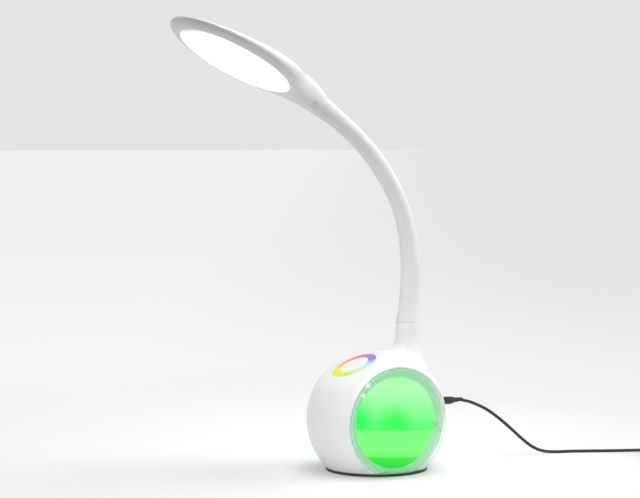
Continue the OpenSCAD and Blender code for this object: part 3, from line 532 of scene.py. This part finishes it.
greenLight, ringColours = makeGreenLight(), makeRingColours()
print("materials made")


def dress(obj, material):
    obj.data.materials.clear()
    obj.data.materials.append(material)


powerLead.data.materials.append(blackRubber)


def at(x, y, z):
    return Matrix.Translation((x * mm, y * mm, z * mm))


def crownHeight(r):  # above the ball's centre, at a distance from the crown's own axis
    return math.sqrt(crown["radius"] ** 2 - r * r) - crown["radius"] + crown["height"]


def onCrown(x, y, z):  # draws a point of the ball down to the flatter crown, with a soft edge
    way = Vector((x, y, z - ball["height"]))
    reach = way.length
    if reach > ball["radius"] + 0.5:
        return (x, y, z)
    tilt = math.radians(crown["tilt"])
    lean = way.normalized().dot(Vector((0, -math.sin(tilt), math.cos(tilt)))) * (crown["height"] - crown["radius"])
    flat = lean + math.sqrt(max(lean ** 2 - (crown["height"] - crown["radius"]) ** 2 + crown["radius"] ** 2, 0))
    near = max(crown["soft"] - abs(reach - flat), 0) / crown["soft"]
    way = way.normalized() * (min(reach, flat) - near * near * crown["soft"] / 4)
    return (way.x, way.y, way.z + ball["height"])


def spreadPoint(angle, u):  # u is 0 to 1 down the neck's flare, then 1 to 2 round the ball
    c, s = math.cos(angle), math.sin(angle)
    middle = -neck["back"] * s
    half = math.sqrt(ball["radius"] ** 2 - (neck["back"] * c) ** 2)
    reach = neck["radius"] + neck["spread"]
    drop = math.sqrt(half ** 2 - (reach - middle) ** 2)
    low = ball["height"] + drop
    knee = min(low + neck["spread"] * (reach - middle) / drop, neck["spreadZ"] - 2)
    if u <= 1:
        r = neck["radius"] + neck["spread"] * u * u
        z = (1 - u) ** 2 * neck["spreadZ"] + 2 * u * (1 - u) * knee + u * u * low
    else:
        start = math.asin((reach - middle) / half)
        turn = start + (math.pi / 2 - start) * (u - 1)
        r, z = middle + half * math.sin(turn), ball["height"] + half * math.cos(turn)
    return onCrown(r * c, neck["back"] + r * s, z)


def makeUpperShell():
    topRadius, topZ = neck["topRadius"], neck["topZ"]
    top = [(8, topZ), (topRadius - 0.5, topZ), (topRadius - 0.15, topZ - 0.15), (topRadius, topZ - 0.5),
           (topRadius + 0.25, topZ - 7)]
    neckRows, ballRows = shellGrid["neckRows"], shellGrid["ballRows"]
    rows = len(top) + neckRows + ballRows

    def point(u, v):
        angle, i = 2 * math.pi * u, v * (rows - 1)
        if i < len(top) - 0.5:
            r, z = top[int(i + 0.5)]
            return (r * math.cos(angle), neck["back"] + r * math.sin(angle), z)
        k = i - len(top)
        return spreadPoint(angle, k / neckRows if k <= neckRows else 1 + (k - neckRows) / (ballRows - 1))

    shell = shapedGrid("upperShell", shellGrid["around"], rows - 1, point)
    tidyMesh(shell)
    for side in (1, -1):
        trim(shell, (side * ball["windowX"] * mm, 0, 0), (side, 0, 0))
    modify(shell, "SOLIDIFY", thickness=ball["wall"] * mm, offset=-1)
    softenEdges(shell, ball["edge"])
    gap, clear = ringLook["gap"], ringLook["clear"]
    inner, outer, deep = ringLook["inner"] - gap, ringLook["outer"] + gap, ringLook["thick"] + gap
    floorIn, floorOut = (inner, crownHeight(inner) - deep), (outer, crownHeight(outer) - deep)
    groove = turned("groove", [floorIn, floorOut, (outer, clear), (inner, clear), floorIn], 128)
    moved(groove, at(0, 0, ball["height"]) @ Matrix.Rotation(math.radians(crown["tilt"]), 4, "X"))
    cut(shell, groove)
    bpy.ops.mesh.primitive_cylinder_add(
        vertices=64, radius=jack["radius"] * mm, depth=jack["depth"] * mm,
        location=(0, jack["back"] * mm, jack["height"] * mm), rotation=(math.radians(90), 0, 0))
    cut(shell, settle(named("jackHole")))
    smooth(shell, 30)
    dress(shell, shellWhite)
    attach(shell, "base")
    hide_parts("upper_shell")


def ballPart(name, wall, planes, axis=None):  # a ball cut by planes, then given a wall
    deselect()
    bpy.ops.mesh.primitive_uv_sphere_add(segments=160, ring_count=80, radius=ball["radius"] * mm)
    part = named(name)
    if axis:
        part.rotation_euler = axis
        settle(part)
    moved(part, at(0, 0, ball["height"]))
    for point, normal in planes:
        trim(part, Vector(point) * mm, normal)
    modify(part, "SOLIDIFY", thickness=wall * mm, offset=-1)
    softenEdges(part, ball["edge"])
    return smooth(part, 30)


def makeLowerShell():
    x, top = ball["windowX"], ball["height"] - ball["seamGap"]
    planes = [((0, 0, top), (0, 0, 1)), ((0, 0, ball["footHeight"]), (0, 0, -1)),
              ((x, 0, 0), (1, 0, 0)), ((-x, 0, 0), (-1, 0, 0))]
    shell = ballPart("lowerShell", ball["wall"], planes)
    dress(shell, shellWhite)
    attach(shell, "base")
    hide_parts("lower_shell")


domeRim = {"facing": -0.7, "reach": 0.4}  # the cut face that meets the shells


def makeDomes():
    for name, side in (("right", 1), ("left", -1)):
        planes = [((side * (ball["windowX"] + ball["domeGap"]), 0, 0), (-side, 0, 0)),
                  ((0, 0, ball["footHeight"]), (0, 0, -1))]
        dome = ballPart(name + "Dome", ball["domeWall"], planes, (0, math.radians(90), 0))
        dress(dome, clearDome)
        dome.data.materials.append(domeEdgePaintedGlow)
        limit = (ball["windowX"] + domeRim["reach"]) * mm
        for polygon in dome.data.polygons:
            if polygon.normal.x * side < domeRim["facing"] and abs(polygon.center.x) < limit:
                polygon.material_index = 1
        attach(dome, "base")
        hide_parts(name + "_dome")


litDisc = {"radius": 48.4, "edgeX": 40.3, "thick": 2.2, "rise": 3, "rings": 24, "edge": 0.3}


def makeLitDiscs():
    radius, rise, thick, edge = (litDisc[k] for k in ("radius", "rise", "thick", "edge"))
    bulge = (radius ** 2 + rise ** 2) / (2 * rise)
    across = [radius * k / litDisc["rings"] for k in range(litDisc["rings"])]
    front = [(r, math.sqrt(bulge ** 2 - r ** 2) - bulge + rise) for r in across]
    profile = front + [(radius - edge, 0.05), (radius, -edge), (radius, -thick), (0, -thick)]
    for name, side in (("right", 1), ("left", -1)):
        disc = turned(name + "LitDisc", profile, 128)
        turn = Matrix.Rotation(math.radians(90 * side), 4, "Y")
        moved(disc, at(side * litDisc["edgeX"], 0, ball["height"]) @ turn)
        smooth(disc, 40)
        dress(disc, greenLight)
        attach(disc, "base")
        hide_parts(name + "_diffuser")


def makeColourRing():
    inner, outer, thick, bevel = (ringLook[k] for k in ("inner", "outer", "thick", "bevel"))
    face = [(r, crownHeight(r)) for r in (inner + bevel, 18, 19.5, 21, 22.5, outer - bevel)]
    back = [(outer, crownHeight(outer) - thick), (inner, crownHeight(inner) - thick)]
    innerEdge, outerEdge = (inner, face[0][1] - bevel), (outer, face[-1][1] - bevel)
    ring = turned("colourRing", [innerEdge] + face + [outerEdge] + back + [innerEdge], 144)
    moved(ring, at(0, 0, ball["height"]) @ Matrix.Rotation(math.radians(crown["tilt"]), 4, "X"))
    smooth(ring, 30)
    dress(ring, ringColours)
    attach(ring, "base")
    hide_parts("colour_ring")


makeUpperShell()
makeLowerShell()
makeDomes()
makeLitDiscs()
makeColourRing()
print("base made")


def findBends():  # place and lean of each bending point, from the neck upwards
    y, z, lean, found = neck["back"], neck["topZ"], -arm["lean"], []
    for length, bend in zip(arm["lengths"], arm["bends"]):
        found.append((y, z, lean))
        a, b = math.radians(lean), math.radians(bend)
        if bend == 0:
            y, z = y - math.sin(a) * length, z + math.cos(a) * length
        else:
            r = length / b
            y, z = y + r * (math.cos(a + b) - math.cos(a)), z + r * (math.sin(a + b) - math.sin(a))
        lean += bend
    return found + [(y, z, lean)]


bendPoints = findBends()


def along(i, share):  # a point on stretch i
    y, z, lean = bendPoints[i]
    length, bend = arm["lengths"][i] * share, arm["bends"][i] * share
    a, b = math.radians(lean), math.radians(bend)
    if bend == 0:
        return Vector((0, y - math.sin(a) * length, z + math.cos(a) * length))
    r = length / b
    return Vector((0, y + r * (math.cos(a + b) - math.cos(a)), z + r * (math.sin(a + b) - math.sin(a))))


def armRadius(i, share):
    if i == 0:
        return arm["radii"][0] + (arm["footRadius"] - arm["radii"][0]) * (1 - share) ** arm["footFlare"]
    low = arm["radii"][i - 1]
    if i == len(arm["lengths"]) - 1:
        return low + (arm["endRadius"] - low) * share ** arm["endFlare"]
    return low + (arm["radii"][i] - low) * share


def makeArm():  # one smooth tube, cut into a piece for each joint
    last, steps = len(arm["lengths"]) - 1, arm["steps"]
    line = [(along(i, k / steps), armRadius(i, k / steps)) for i in range(last + 1) for k in range(steps)]
    line.append((along(last, 1), arm["endRadius"]))
    start = line[0][0] - Vector((0, 0, 1)) * 2  # a little spare at both ends, which is trimmed off
    line.insert(0, (start, arm["footRadius"]))
    tail = (line[-1][0] - line[-2][0]).normalized()
    line.append((line[-1][0] + tail * 3, arm["endRadius"]))
    whole = drawnCurve("armSleeve", line, mm, 14)
    pick(whole)
    bpy.ops.object.convert(target="MESH")
    whole = bpy.context.active_object
    tidyMesh(whole)
    tilt = math.radians(head["tilt"])
    seam = Vector(headPoint(0, head["back"] + arm["seamGap"], head["neckZ"]))
    trim(whole, (0, 0, (neck["topZ"] + arm["seamGap"]) * mm), (0, 0, -1), True)
    trim(whole, seam * mm, (0, -math.cos(tilt), math.sin(tilt)), True)
    softenEdges(whole, 0.4)
    for k in range(1, last + 1):
        pick(whole)
        bpy.ops.object.duplicate()
        piece = named("armSleeve%d" % k)
        for i, side in ((k - 1, -1), (k, 1)):
            if i in (0, last):
                continue
            a = math.radians(bendPoints[i][2] + arm["bends"][i] / 2)
            trim(piece, along(i, 0.5) * mm, (0, -math.sin(a) * side, math.cos(a) * side), True)
        smooth(piece, 40)
        dress(piece, sleeveWhite)
        y, z, lean = bendPoints[k]
        middle, lean = Vector((0, y, z)), math.radians(lean)
        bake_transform(piece)
        nodes = ["arm_sleeve_foot" if k == 1 else "arm_sleeve_%d" % (k - 1)]
        if k == last:
            nodes.append("arm_sleeve_end")
        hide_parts(*nodes)
    bpy.data.objects.remove(whole, do_unlink=True)


armEnd = bendPoints[-1]
headTurn = math.radians(-head["tilt"])
headOrigin = Vector((0, armEnd[0] - (head["back"] * math.cos(headTurn) - head["neckZ"] * math.sin(headTurn)),
                     armEnd[1] - (head["back"] * math.sin(headTurn) + head["neckZ"] * math.cos(headTurn))))
headMatrix = Matrix.Translation(headOrigin * mm) @ Matrix.Rotation(headTurn, 4, "X")


def headPoint(x, y, z):
    return (x, headOrigin.y + y * math.cos(headTurn) - z * math.sin(headTurn),
            headOrigin.z + y * math.sin(headTurn) + z * math.cos(headTurn))


headGlow = {"strength": 1.3, "tipDepth": 26,
            "dimTip": [(0.0, (0.14, 0.14, 0.14)), (0.3, (0.5, 0.5, 0.5)), (0.65, (0.9, 0.9, 0.9)),
                       (1.0, (1, 1, 0.99))]}


def makeHeadLight():  # the panel's glow fades towards the tip
    material = makeFinish("headLight", (0.95, 0.95, 0.93), (0.92, 0.92, 0.9), (0.35, 0.45), 1500, (0.05, 0.05))
    surface = material.node_tree.nodes["Principled BSDF"]
    link = material.node_tree.links.new
    turnedTo = addNode(material, "ShaderNodeMapping", vector_type="TEXTURE")
    turnedTo.inputs["Location"].default_value = headMatrix.translation
    turnedTo.inputs["Rotation"].default_value = (headTurn, 0, 0)
    split, fromTip = addNode(material, "ShaderNodeSeparateXYZ"), addNode(material, "ShaderNodeMapRange")
    tipY = head["lightY"] - head["lightRadius"]
    fromTip.inputs["From Min"].default_value = tipY * mm
    fromTip.inputs["From Max"].default_value = (tipY + headGlow["tipDepth"]) * mm
    ramp = rampNode(material, headGlow["dimTip"])
    link(findCoordinates(material).outputs["Object"], turnedTo.inputs["Vector"])
    link(turnedTo.outputs["Vector"], split.inputs[0])
    link(split.outputs["Y"], fromTip.inputs["Value"])
    link(fromTip.outputs["Result"], ramp.inputs["Fac"])
    link(ramp.outputs["Color"], surface.inputs["Emission Color"])
    surface.inputs["Emission Strength"].default_value = headGlow["strength"]
    return material


headLight = makeHeadLight()
filletX = head["neckRadius"] + head["fillet"]
filletY = math.sqrt((head["radius"] + head["fillet"]) ** 2 - filletX ** 2)
kneeY = head["back"] - head["knee"]


def halfWidth(y):  # round disc, hollow fillet, then the neck
    if y < filletY * head["radius"] / (head["radius"] + head["fillet"]):
        return math.sqrt(max(head["radius"] ** 2 - y * y, 0))
    if y < filletY:
        return filletX - math.sqrt(max(head["fillet"] ** 2 - (y - filletY) ** 2, 0))
    return head["neckRadius"]


def neckness(y):  # 0 on the disc, 1 at the neck's end
    return ease((y - head["neckFrom"]) / (head["back"] - head["neckFrom"]))


def slopeTop(y):
    share = (y + head["radius"]) / (head["radius"] + head["peakY"])
    return head["tip"] + (head["peak"] - head["tip"]) * math.sin(math.radians(90 * share))


def topHeight(y):
    if y < kneeY:
        return slopeTop(y)
    drop = slopeTop(kneeY) - head["neckZ"] - head["neckRadius"]
    return slopeTop(kneeY) - drop * ((y - kneeY) / (head["back"] - kneeY)) ** 2


def rollOver(x, y):  # 0 at the outline, 1 on the flat underside, a full half circle at the neck
    blend = ease((y - head["rollFrom"]) / head["rollOver"])
    inset = (1 - blend) * max(head["radius"] - math.hypot(x, y), 0) + blend * (halfWidth(y) - abs(x))
    near = min(inset / max(min(head["edge"], halfWidth(y)), 0.001), 1)
    return math.sqrt(max(1 - (1 - near) ** 2, 0))


def headSection(y, turn, upper):
    k = neckness(y)
    middle = head["seam"] + (head["neckZ"] - head["seam"]) * k
    lowest = (head["neckZ"] - head["neckRadius"] + head["under"]) * k - head["under"]
    limit = topHeight(y) if upper else lowest
    power = 2 / (2.4 - 0.4 * k)  # squarer on the disc, round at the neck
    c, s = math.cos(turn), math.sin(turn)
    x = halfWidth(y) * math.copysign(abs(c) ** power, c)
    return (x, y, middle + (limit - middle) * (abs(s) ** power if upper else rollOver(x, y)))


def stationY(v):  # closer together towards the round tip
    if v < 0.5:
        return -head["radius"] * math.cos(math.radians(90 * v / 0.5))
    return head["back"] * (v - 0.5) / 0.5


def headCover(name, upper):
    cover = shapedGrid(name, head["rows"], head["columns"],
                       lambda u, v: headSection(stationY(v), math.pi * u, upper))
    tidyMesh(cover)
    facing = sum(p.normal.z * p.area for p in cover.data.polygons)
    if (facing < 0) if upper else (facing > 0):
        editAll(cover)
        bpy.ops.mesh.flip_normals()
        bpy.ops.object.mode_set(mode="OBJECT")
    return cover


def makeHeadTop():
    cover = headCover("headTop", True)
    modify(cover, "SOLIDIFY", thickness=head["topWall"] * mm, offset=-1)
    smooth(cover, 50)
    moved(cover, headMatrix)
    dress(cover, shellWhite)
    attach(cover, "head")
    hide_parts("head_top_cover")


def makeHeadBottom():
    cover = headCover("headBottom", False)
    modify(cover, "SOLIDIFY", thickness=head["bottomWall"] * mm, offset=-1)
    deselect()
    bpy.ops.mesh.primitive_cylinder_add(vertices=160, radius=(head["lightRadius"] + 0.15) * mm, depth=20 * mm,
                                        location=(0, head["lightY"] * mm, 0))
    cut(cover, settle(named("lightOpening")))
    for side in (1, -1):
        deselect()
        bpy.ops.mesh.primitive_cylinder_add(vertices=48, radius=screwWell["radius"] * mm,
                                            depth=screwWell["depth"] * mm, location=(0, 0, screwWell["out"] * mm))
        bore = settle(named("screwWell"))
        turn = Matrix.Rotation(math.radians(side * screwWell["turn"]), 4, "Y")
        moved(bore, at(0, head["back"] - screwWell["fromEnd"], head["neckZ"]) @ turn)
        cut(cover, bore)
    softenEdges(cover, 0.2, 60)
    smooth(cover, 40)
    moved(cover, headMatrix)
    dress(cover, shellWhite)
    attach(cover, "head")
    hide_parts("head_bottom_cover")


def makeDiffuser():
    r = head["lightRadius"]
    panel = turned("headDiffuser", [(0, 0), (r - 1, 0), (r - 0.4, 0.1), (r, 0.45), (r, 1.35), (0, 1.35)], 160)
    smooth(panel, 40)
    moved(panel, headMatrix @ at(0, head["lightY"], 0.3 - head["under"]))
    dress(panel, headLight)
    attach(panel, "head")
    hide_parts("head_diffuser")


makeArm()
makeHeadTop()
makeHeadBottom()
makeDiffuser()
print("arm and head made")


adapter = {"length": 48, "width": 28, "height": 29.4, "reach": 14, "round": 3, "panel": 2, "groove": 0.5}


def makeAdapter():
    face = leadTip + leadWay * adapter["reach"]
    deselect()
    bpy.ops.mesh.primitive_cube_add(size=1)
    body = named("adapterBody")
    body.scale = (adapter["length"] * mm, adapter["width"] * mm, adapter["height"] * mm)
    body.location = (adapter["length"] / 2 * mm, 0, 0)
    settle(body)
    modify(body, "BEVEL", width=adapter["round"] * mm, segments=5)
    editAll(body)
    bpy.ops.mesh.select_all(action="DESELECT")
    bpy.ops.object.mode_set(mode="OBJECT")
    for polygon in body.data.polygons:
        polygon.select = polygon.normal.z > 0.99
    bpy.ops.object.mode_set(mode="EDIT")
    bpy.ops.mesh.inset(thickness=adapter["panel"] * mm)
    bpy.ops.mesh.inset(thickness=adapter["groove"] * mm, depth=-adapter["groove"] * mm)
    bpy.ops.object.mode_set(mode="OBJECT")
    smooth(body, 35)
    moved(body, at(*face) @ Matrix.Rotation(math.atan2(leadWay.y, leadWay.x), 4, "Z"))
    dress(body, blackPlastic)
    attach(body, "base")
    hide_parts("adapter_body")


makeAdapter()

cadLooks = {
    "foot_ring": blackRubber, "bottom_plate": innerWhite, "ballast_weight": steel, "ballast_screws": steel,
    "base_screws": steel, "control_board": boardGreen, "touch_board": boardGreen, "dc_jack": blackPlastic,
    "left_light_tray": trayPaintedGreenLight, "right_light_tray": trayPaintedGreenLight, "left_led_board": boardWhite,
    "right_led_board": boardWhite, "neck_ferrule": steel, "neck_nut": steel, "arm_spine_foot": steel,
    "arm_spine_end": steel, "head_ferrule": steel, "light_guide": clearGuide, "head_led_plate": ledPlate,
    "neck_screws": steel, "screw_covers": shellWhite, "dc_plug": blackRubber, "dc_plug_tip": steel,
    "coil_tie": blackPlastic, "adapter_relief": blackRubber, "adapter_pins": steel}
for number in range(1, 8):
    cadLooks["arm_spine_%d" % number] = steel
for nodeName, material in cadLooks.items():
    for holder in cadNodes[nodeName].material_slots:
        holder.material = material
print("CAD pieces dressed")


room = {"size": 24, "wide": 5, "backdrop": 0.775, "world": 0.35, "tint": (0.98, 0.99, 1), "patch": 1.0,
        "patchMiddle": (-0.1, -0.25, 0), "floorRoughness": 0.7, "floorSpecular": 0.2,
        "floor": [(0.0, (0.16,) * 3), (0.25, (0.2,) * 3), (0.6, (0.68,) * 3), (1.0, (0.75,) * 3)],
        "floorShown": [(0.0, (0.745,) * 3), (0.25, (0.69,) * 3), (0.6, (0.24,) * 3), (1.0, (0.16,) * 3)],
        "sideways": [(0.0, (1.0,) * 3), (0.3, (1.0,) * 3), (0.7, (0.87,) * 3), (1.0, (0.87,) * 3)]}


def shownRays(nodes, link):  # 1 for the rays that see the room, 0 for those that only light the lamp
    path = nodes.new("ShaderNodeLightPath")
    first, both = nodes.new("ShaderNodeMath"), nodes.new("ShaderNodeMath")
    first.operation = both.operation = "MAXIMUM"
    link(path.outputs["Is Camera Ray"], first.inputs[0])
    link(path.outputs["Is Glossy Ray"], first.inputs[1])
    link(first.outputs[0], both.inputs[0])
    link(path.outputs["Is Transmission Ray"], both.inputs[1])
    return both.outputs[0]


def makeFloor():  # a white sweep under the lamp, which throws light back up
    a = math.radians(view["azimuth"])
    deselect()
    bpy.ops.mesh.primitive_plane_add(size=room["size"], rotation=(0, 0, a))
    floor = named("floor")
    floor.scale = (room["wide"], 1, 1)
    settle(floor)
    material = bpy.data.materials.new("paleFloor")
    material.use_nodes = True
    nodes, link = material.node_tree.nodes, material.node_tree.links.new
    surface = nodes["Principled BSDF"]
    surface.inputs["Roughness"].default_value = room["floorRoughness"]
    surface.inputs["Specular IOR Level"].default_value = room["floorSpecular"]
    surface.inputs["Emission Strength"].default_value = 1
    material.cycles.emission_sampling = "NONE"  # it only shows, so it is no light source
    where = addNode(material, "ShaderNodeTexCoord")
    scaled = addNode(material, "ShaderNodeMapping", vector_type="TEXTURE")
    scaled.inputs["Location"].default_value = room["patchMiddle"]
    scaled.inputs["Scale"].default_value = (room["patch"],) * 3
    spot = addNode(material, "ShaderNodeTexGradient", gradient_type="SPHERICAL")
    pale, shown = rampNode(material, room["floor"]), rampNode(material, room["floorShown"])
    only = addNode(material, "ShaderNodeMix", data_type="RGBA")
    only.inputs[6].default_value = (0, 0, 0, 1)
    link(where.outputs["Object"], scaled.inputs["Vector"])
    link(scaled.outputs["Vector"], spot.inputs["Vector"])
    link(spot.outputs["Fac"], pale.inputs["Fac"])
    link(spot.outputs["Fac"], shown.inputs["Fac"])
    link(pale.outputs["Color"], surface.inputs["Base Color"])
    link(shownRays(nodes, link), only.inputs[0])
    across = addNode(material, "ShaderNodeMapping", vector_type="TEXTURE")
    across.inputs["Rotation"].default_value = (0, 0, a)
    across.inputs["Location"].default_value = tuple(-room["patch"] * k for k in (math.cos(a), math.sin(a), 0))
    across.inputs["Scale"].default_value = (2 * room["patch"],) * 3
    side = addNode(material, "ShaderNodeTexGradient", gradient_type="LINEAR")
    less = rampNode(material, room["sideways"])
    evened = addNode(material, "ShaderNodeMix", data_type="RGBA", blend_type="MULTIPLY")
    evened.inputs[0].default_value = 1
    link(where.outputs["Object"], across.inputs["Vector"])
    link(across.outputs["Vector"], side.inputs["Vector"])
    link(side.outputs["Fac"], less.inputs["Fac"])
    link(shown.outputs["Color"], evened.inputs[6])
    link(less.outputs["Color"], evened.inputs[7])
    link(evened.outputs[2], only.inputs[7])
    link(only.outputs[2], surface.inputs["Emission Color"])
    floor.data.materials.append(material)


def makeWorld():
    world = bpy.data.worlds.new("softRoom")
    bpy.context.scene.world = world
    world.use_nodes = True
    world.cycles.sampling_method = "NONE"
    nodes, link = world.node_tree.nodes, world.node_tree.links.new
    nodes.clear()
    out, mix = nodes.new("ShaderNodeOutputWorld"), nodes.new("ShaderNodeMixShader")
    lighting, seen = nodes.new("ShaderNodeBackground"), nodes.new("ShaderNodeBackground")
    lighting.inputs["Color"].default_value = (*room["tint"], 1)
    lighting.inputs["Strength"].default_value = room["world"]
    seen.inputs["Color"].default_value = (room["backdrop"],) * 3 + (1,)
    link(shownRays(nodes, link), mix.inputs[0])
    link(lighting.outputs[0], mix.inputs[1])
    link(seen.outputs[0], mix.inputs[2])
    link(mix.outputs[0], out.inputs[0])


lamps = [{"name": "overhead", "place": (0.1, 0.2, 2.2), "aim": (0, 0, 0.2), "size": 1.6, "power": 32},
         {"name": "rightSoft", "place": (0.6, 1.6, 0.95), "aim": (0, 0, 0.25), "size": 1.2, "power": 17.5}]
spots = [{"name": "baseFill", "place": (0.2, -1.5, 0.45), "aim": (0, -0.02, 0.06), "cone": 13, "soft": 0.3,
          "power": 72},
         {"name": "neckFill", "place": (1.3, -0.9, 0.5), "aim": (0, 0.03, 0.11), "cone": 12, "soft": 0.3,
          "power": 150}]
sparkles = [{"name": "sparkleHigh", "place": (0.54, -0.85, 1.86), "aim": (0.05, -0.04, 0.1), "size": 0.26,
             "power": 9},
            {"name": "sparkleLow", "place": (0.79, -1.3, 1.46), "aim": (0.05, -0.04, 0.1), "size": 0.2,
             "power": 5}]


def addLamp(kind, lamp):
    deselect()
    bpy.ops.object.light_add(type=kind, location=lamp["place"])
    obj = named(lamp["name"])
    obj.data.energy = lamp["power"]
    way = Vector(lamp["aim"]) - Vector(lamp["place"])
    obj.rotation_euler = way.to_track_quat("-Z", "Y").to_euler()
    return obj


def makeLamps():
    for lamp in lamps:  # soft boxes and spots light the lamp, but don't show in its gloss
        obj = addLamp("AREA", lamp)
        obj.data.shape, obj.data.size = "DISK", lamp["size"]
        obj.visible_glossy = obj.visible_transmission = False
    for lamp in spots:
        obj = addLamp("SPOT", lamp)
        obj.data.spot_size, obj.data.spot_blend = math.radians(lamp["cone"]), 1
        obj.data.shadow_soft_size = lamp["soft"]
        obj.visible_glossy = obj.visible_transmission = False
    for lamp in sparkles:  # small ones that only show as highlights
        obj = addLamp("AREA", lamp)
        obj.data.shape, obj.data.size = "DISK", lamp["size"]
        obj.visible_diffuse = obj.visible_camera = False


makeFloor()
makeWorld()
makeLamps()
bpy.context.scene.view_settings.view_transform = "Standard"
print("room and light set")
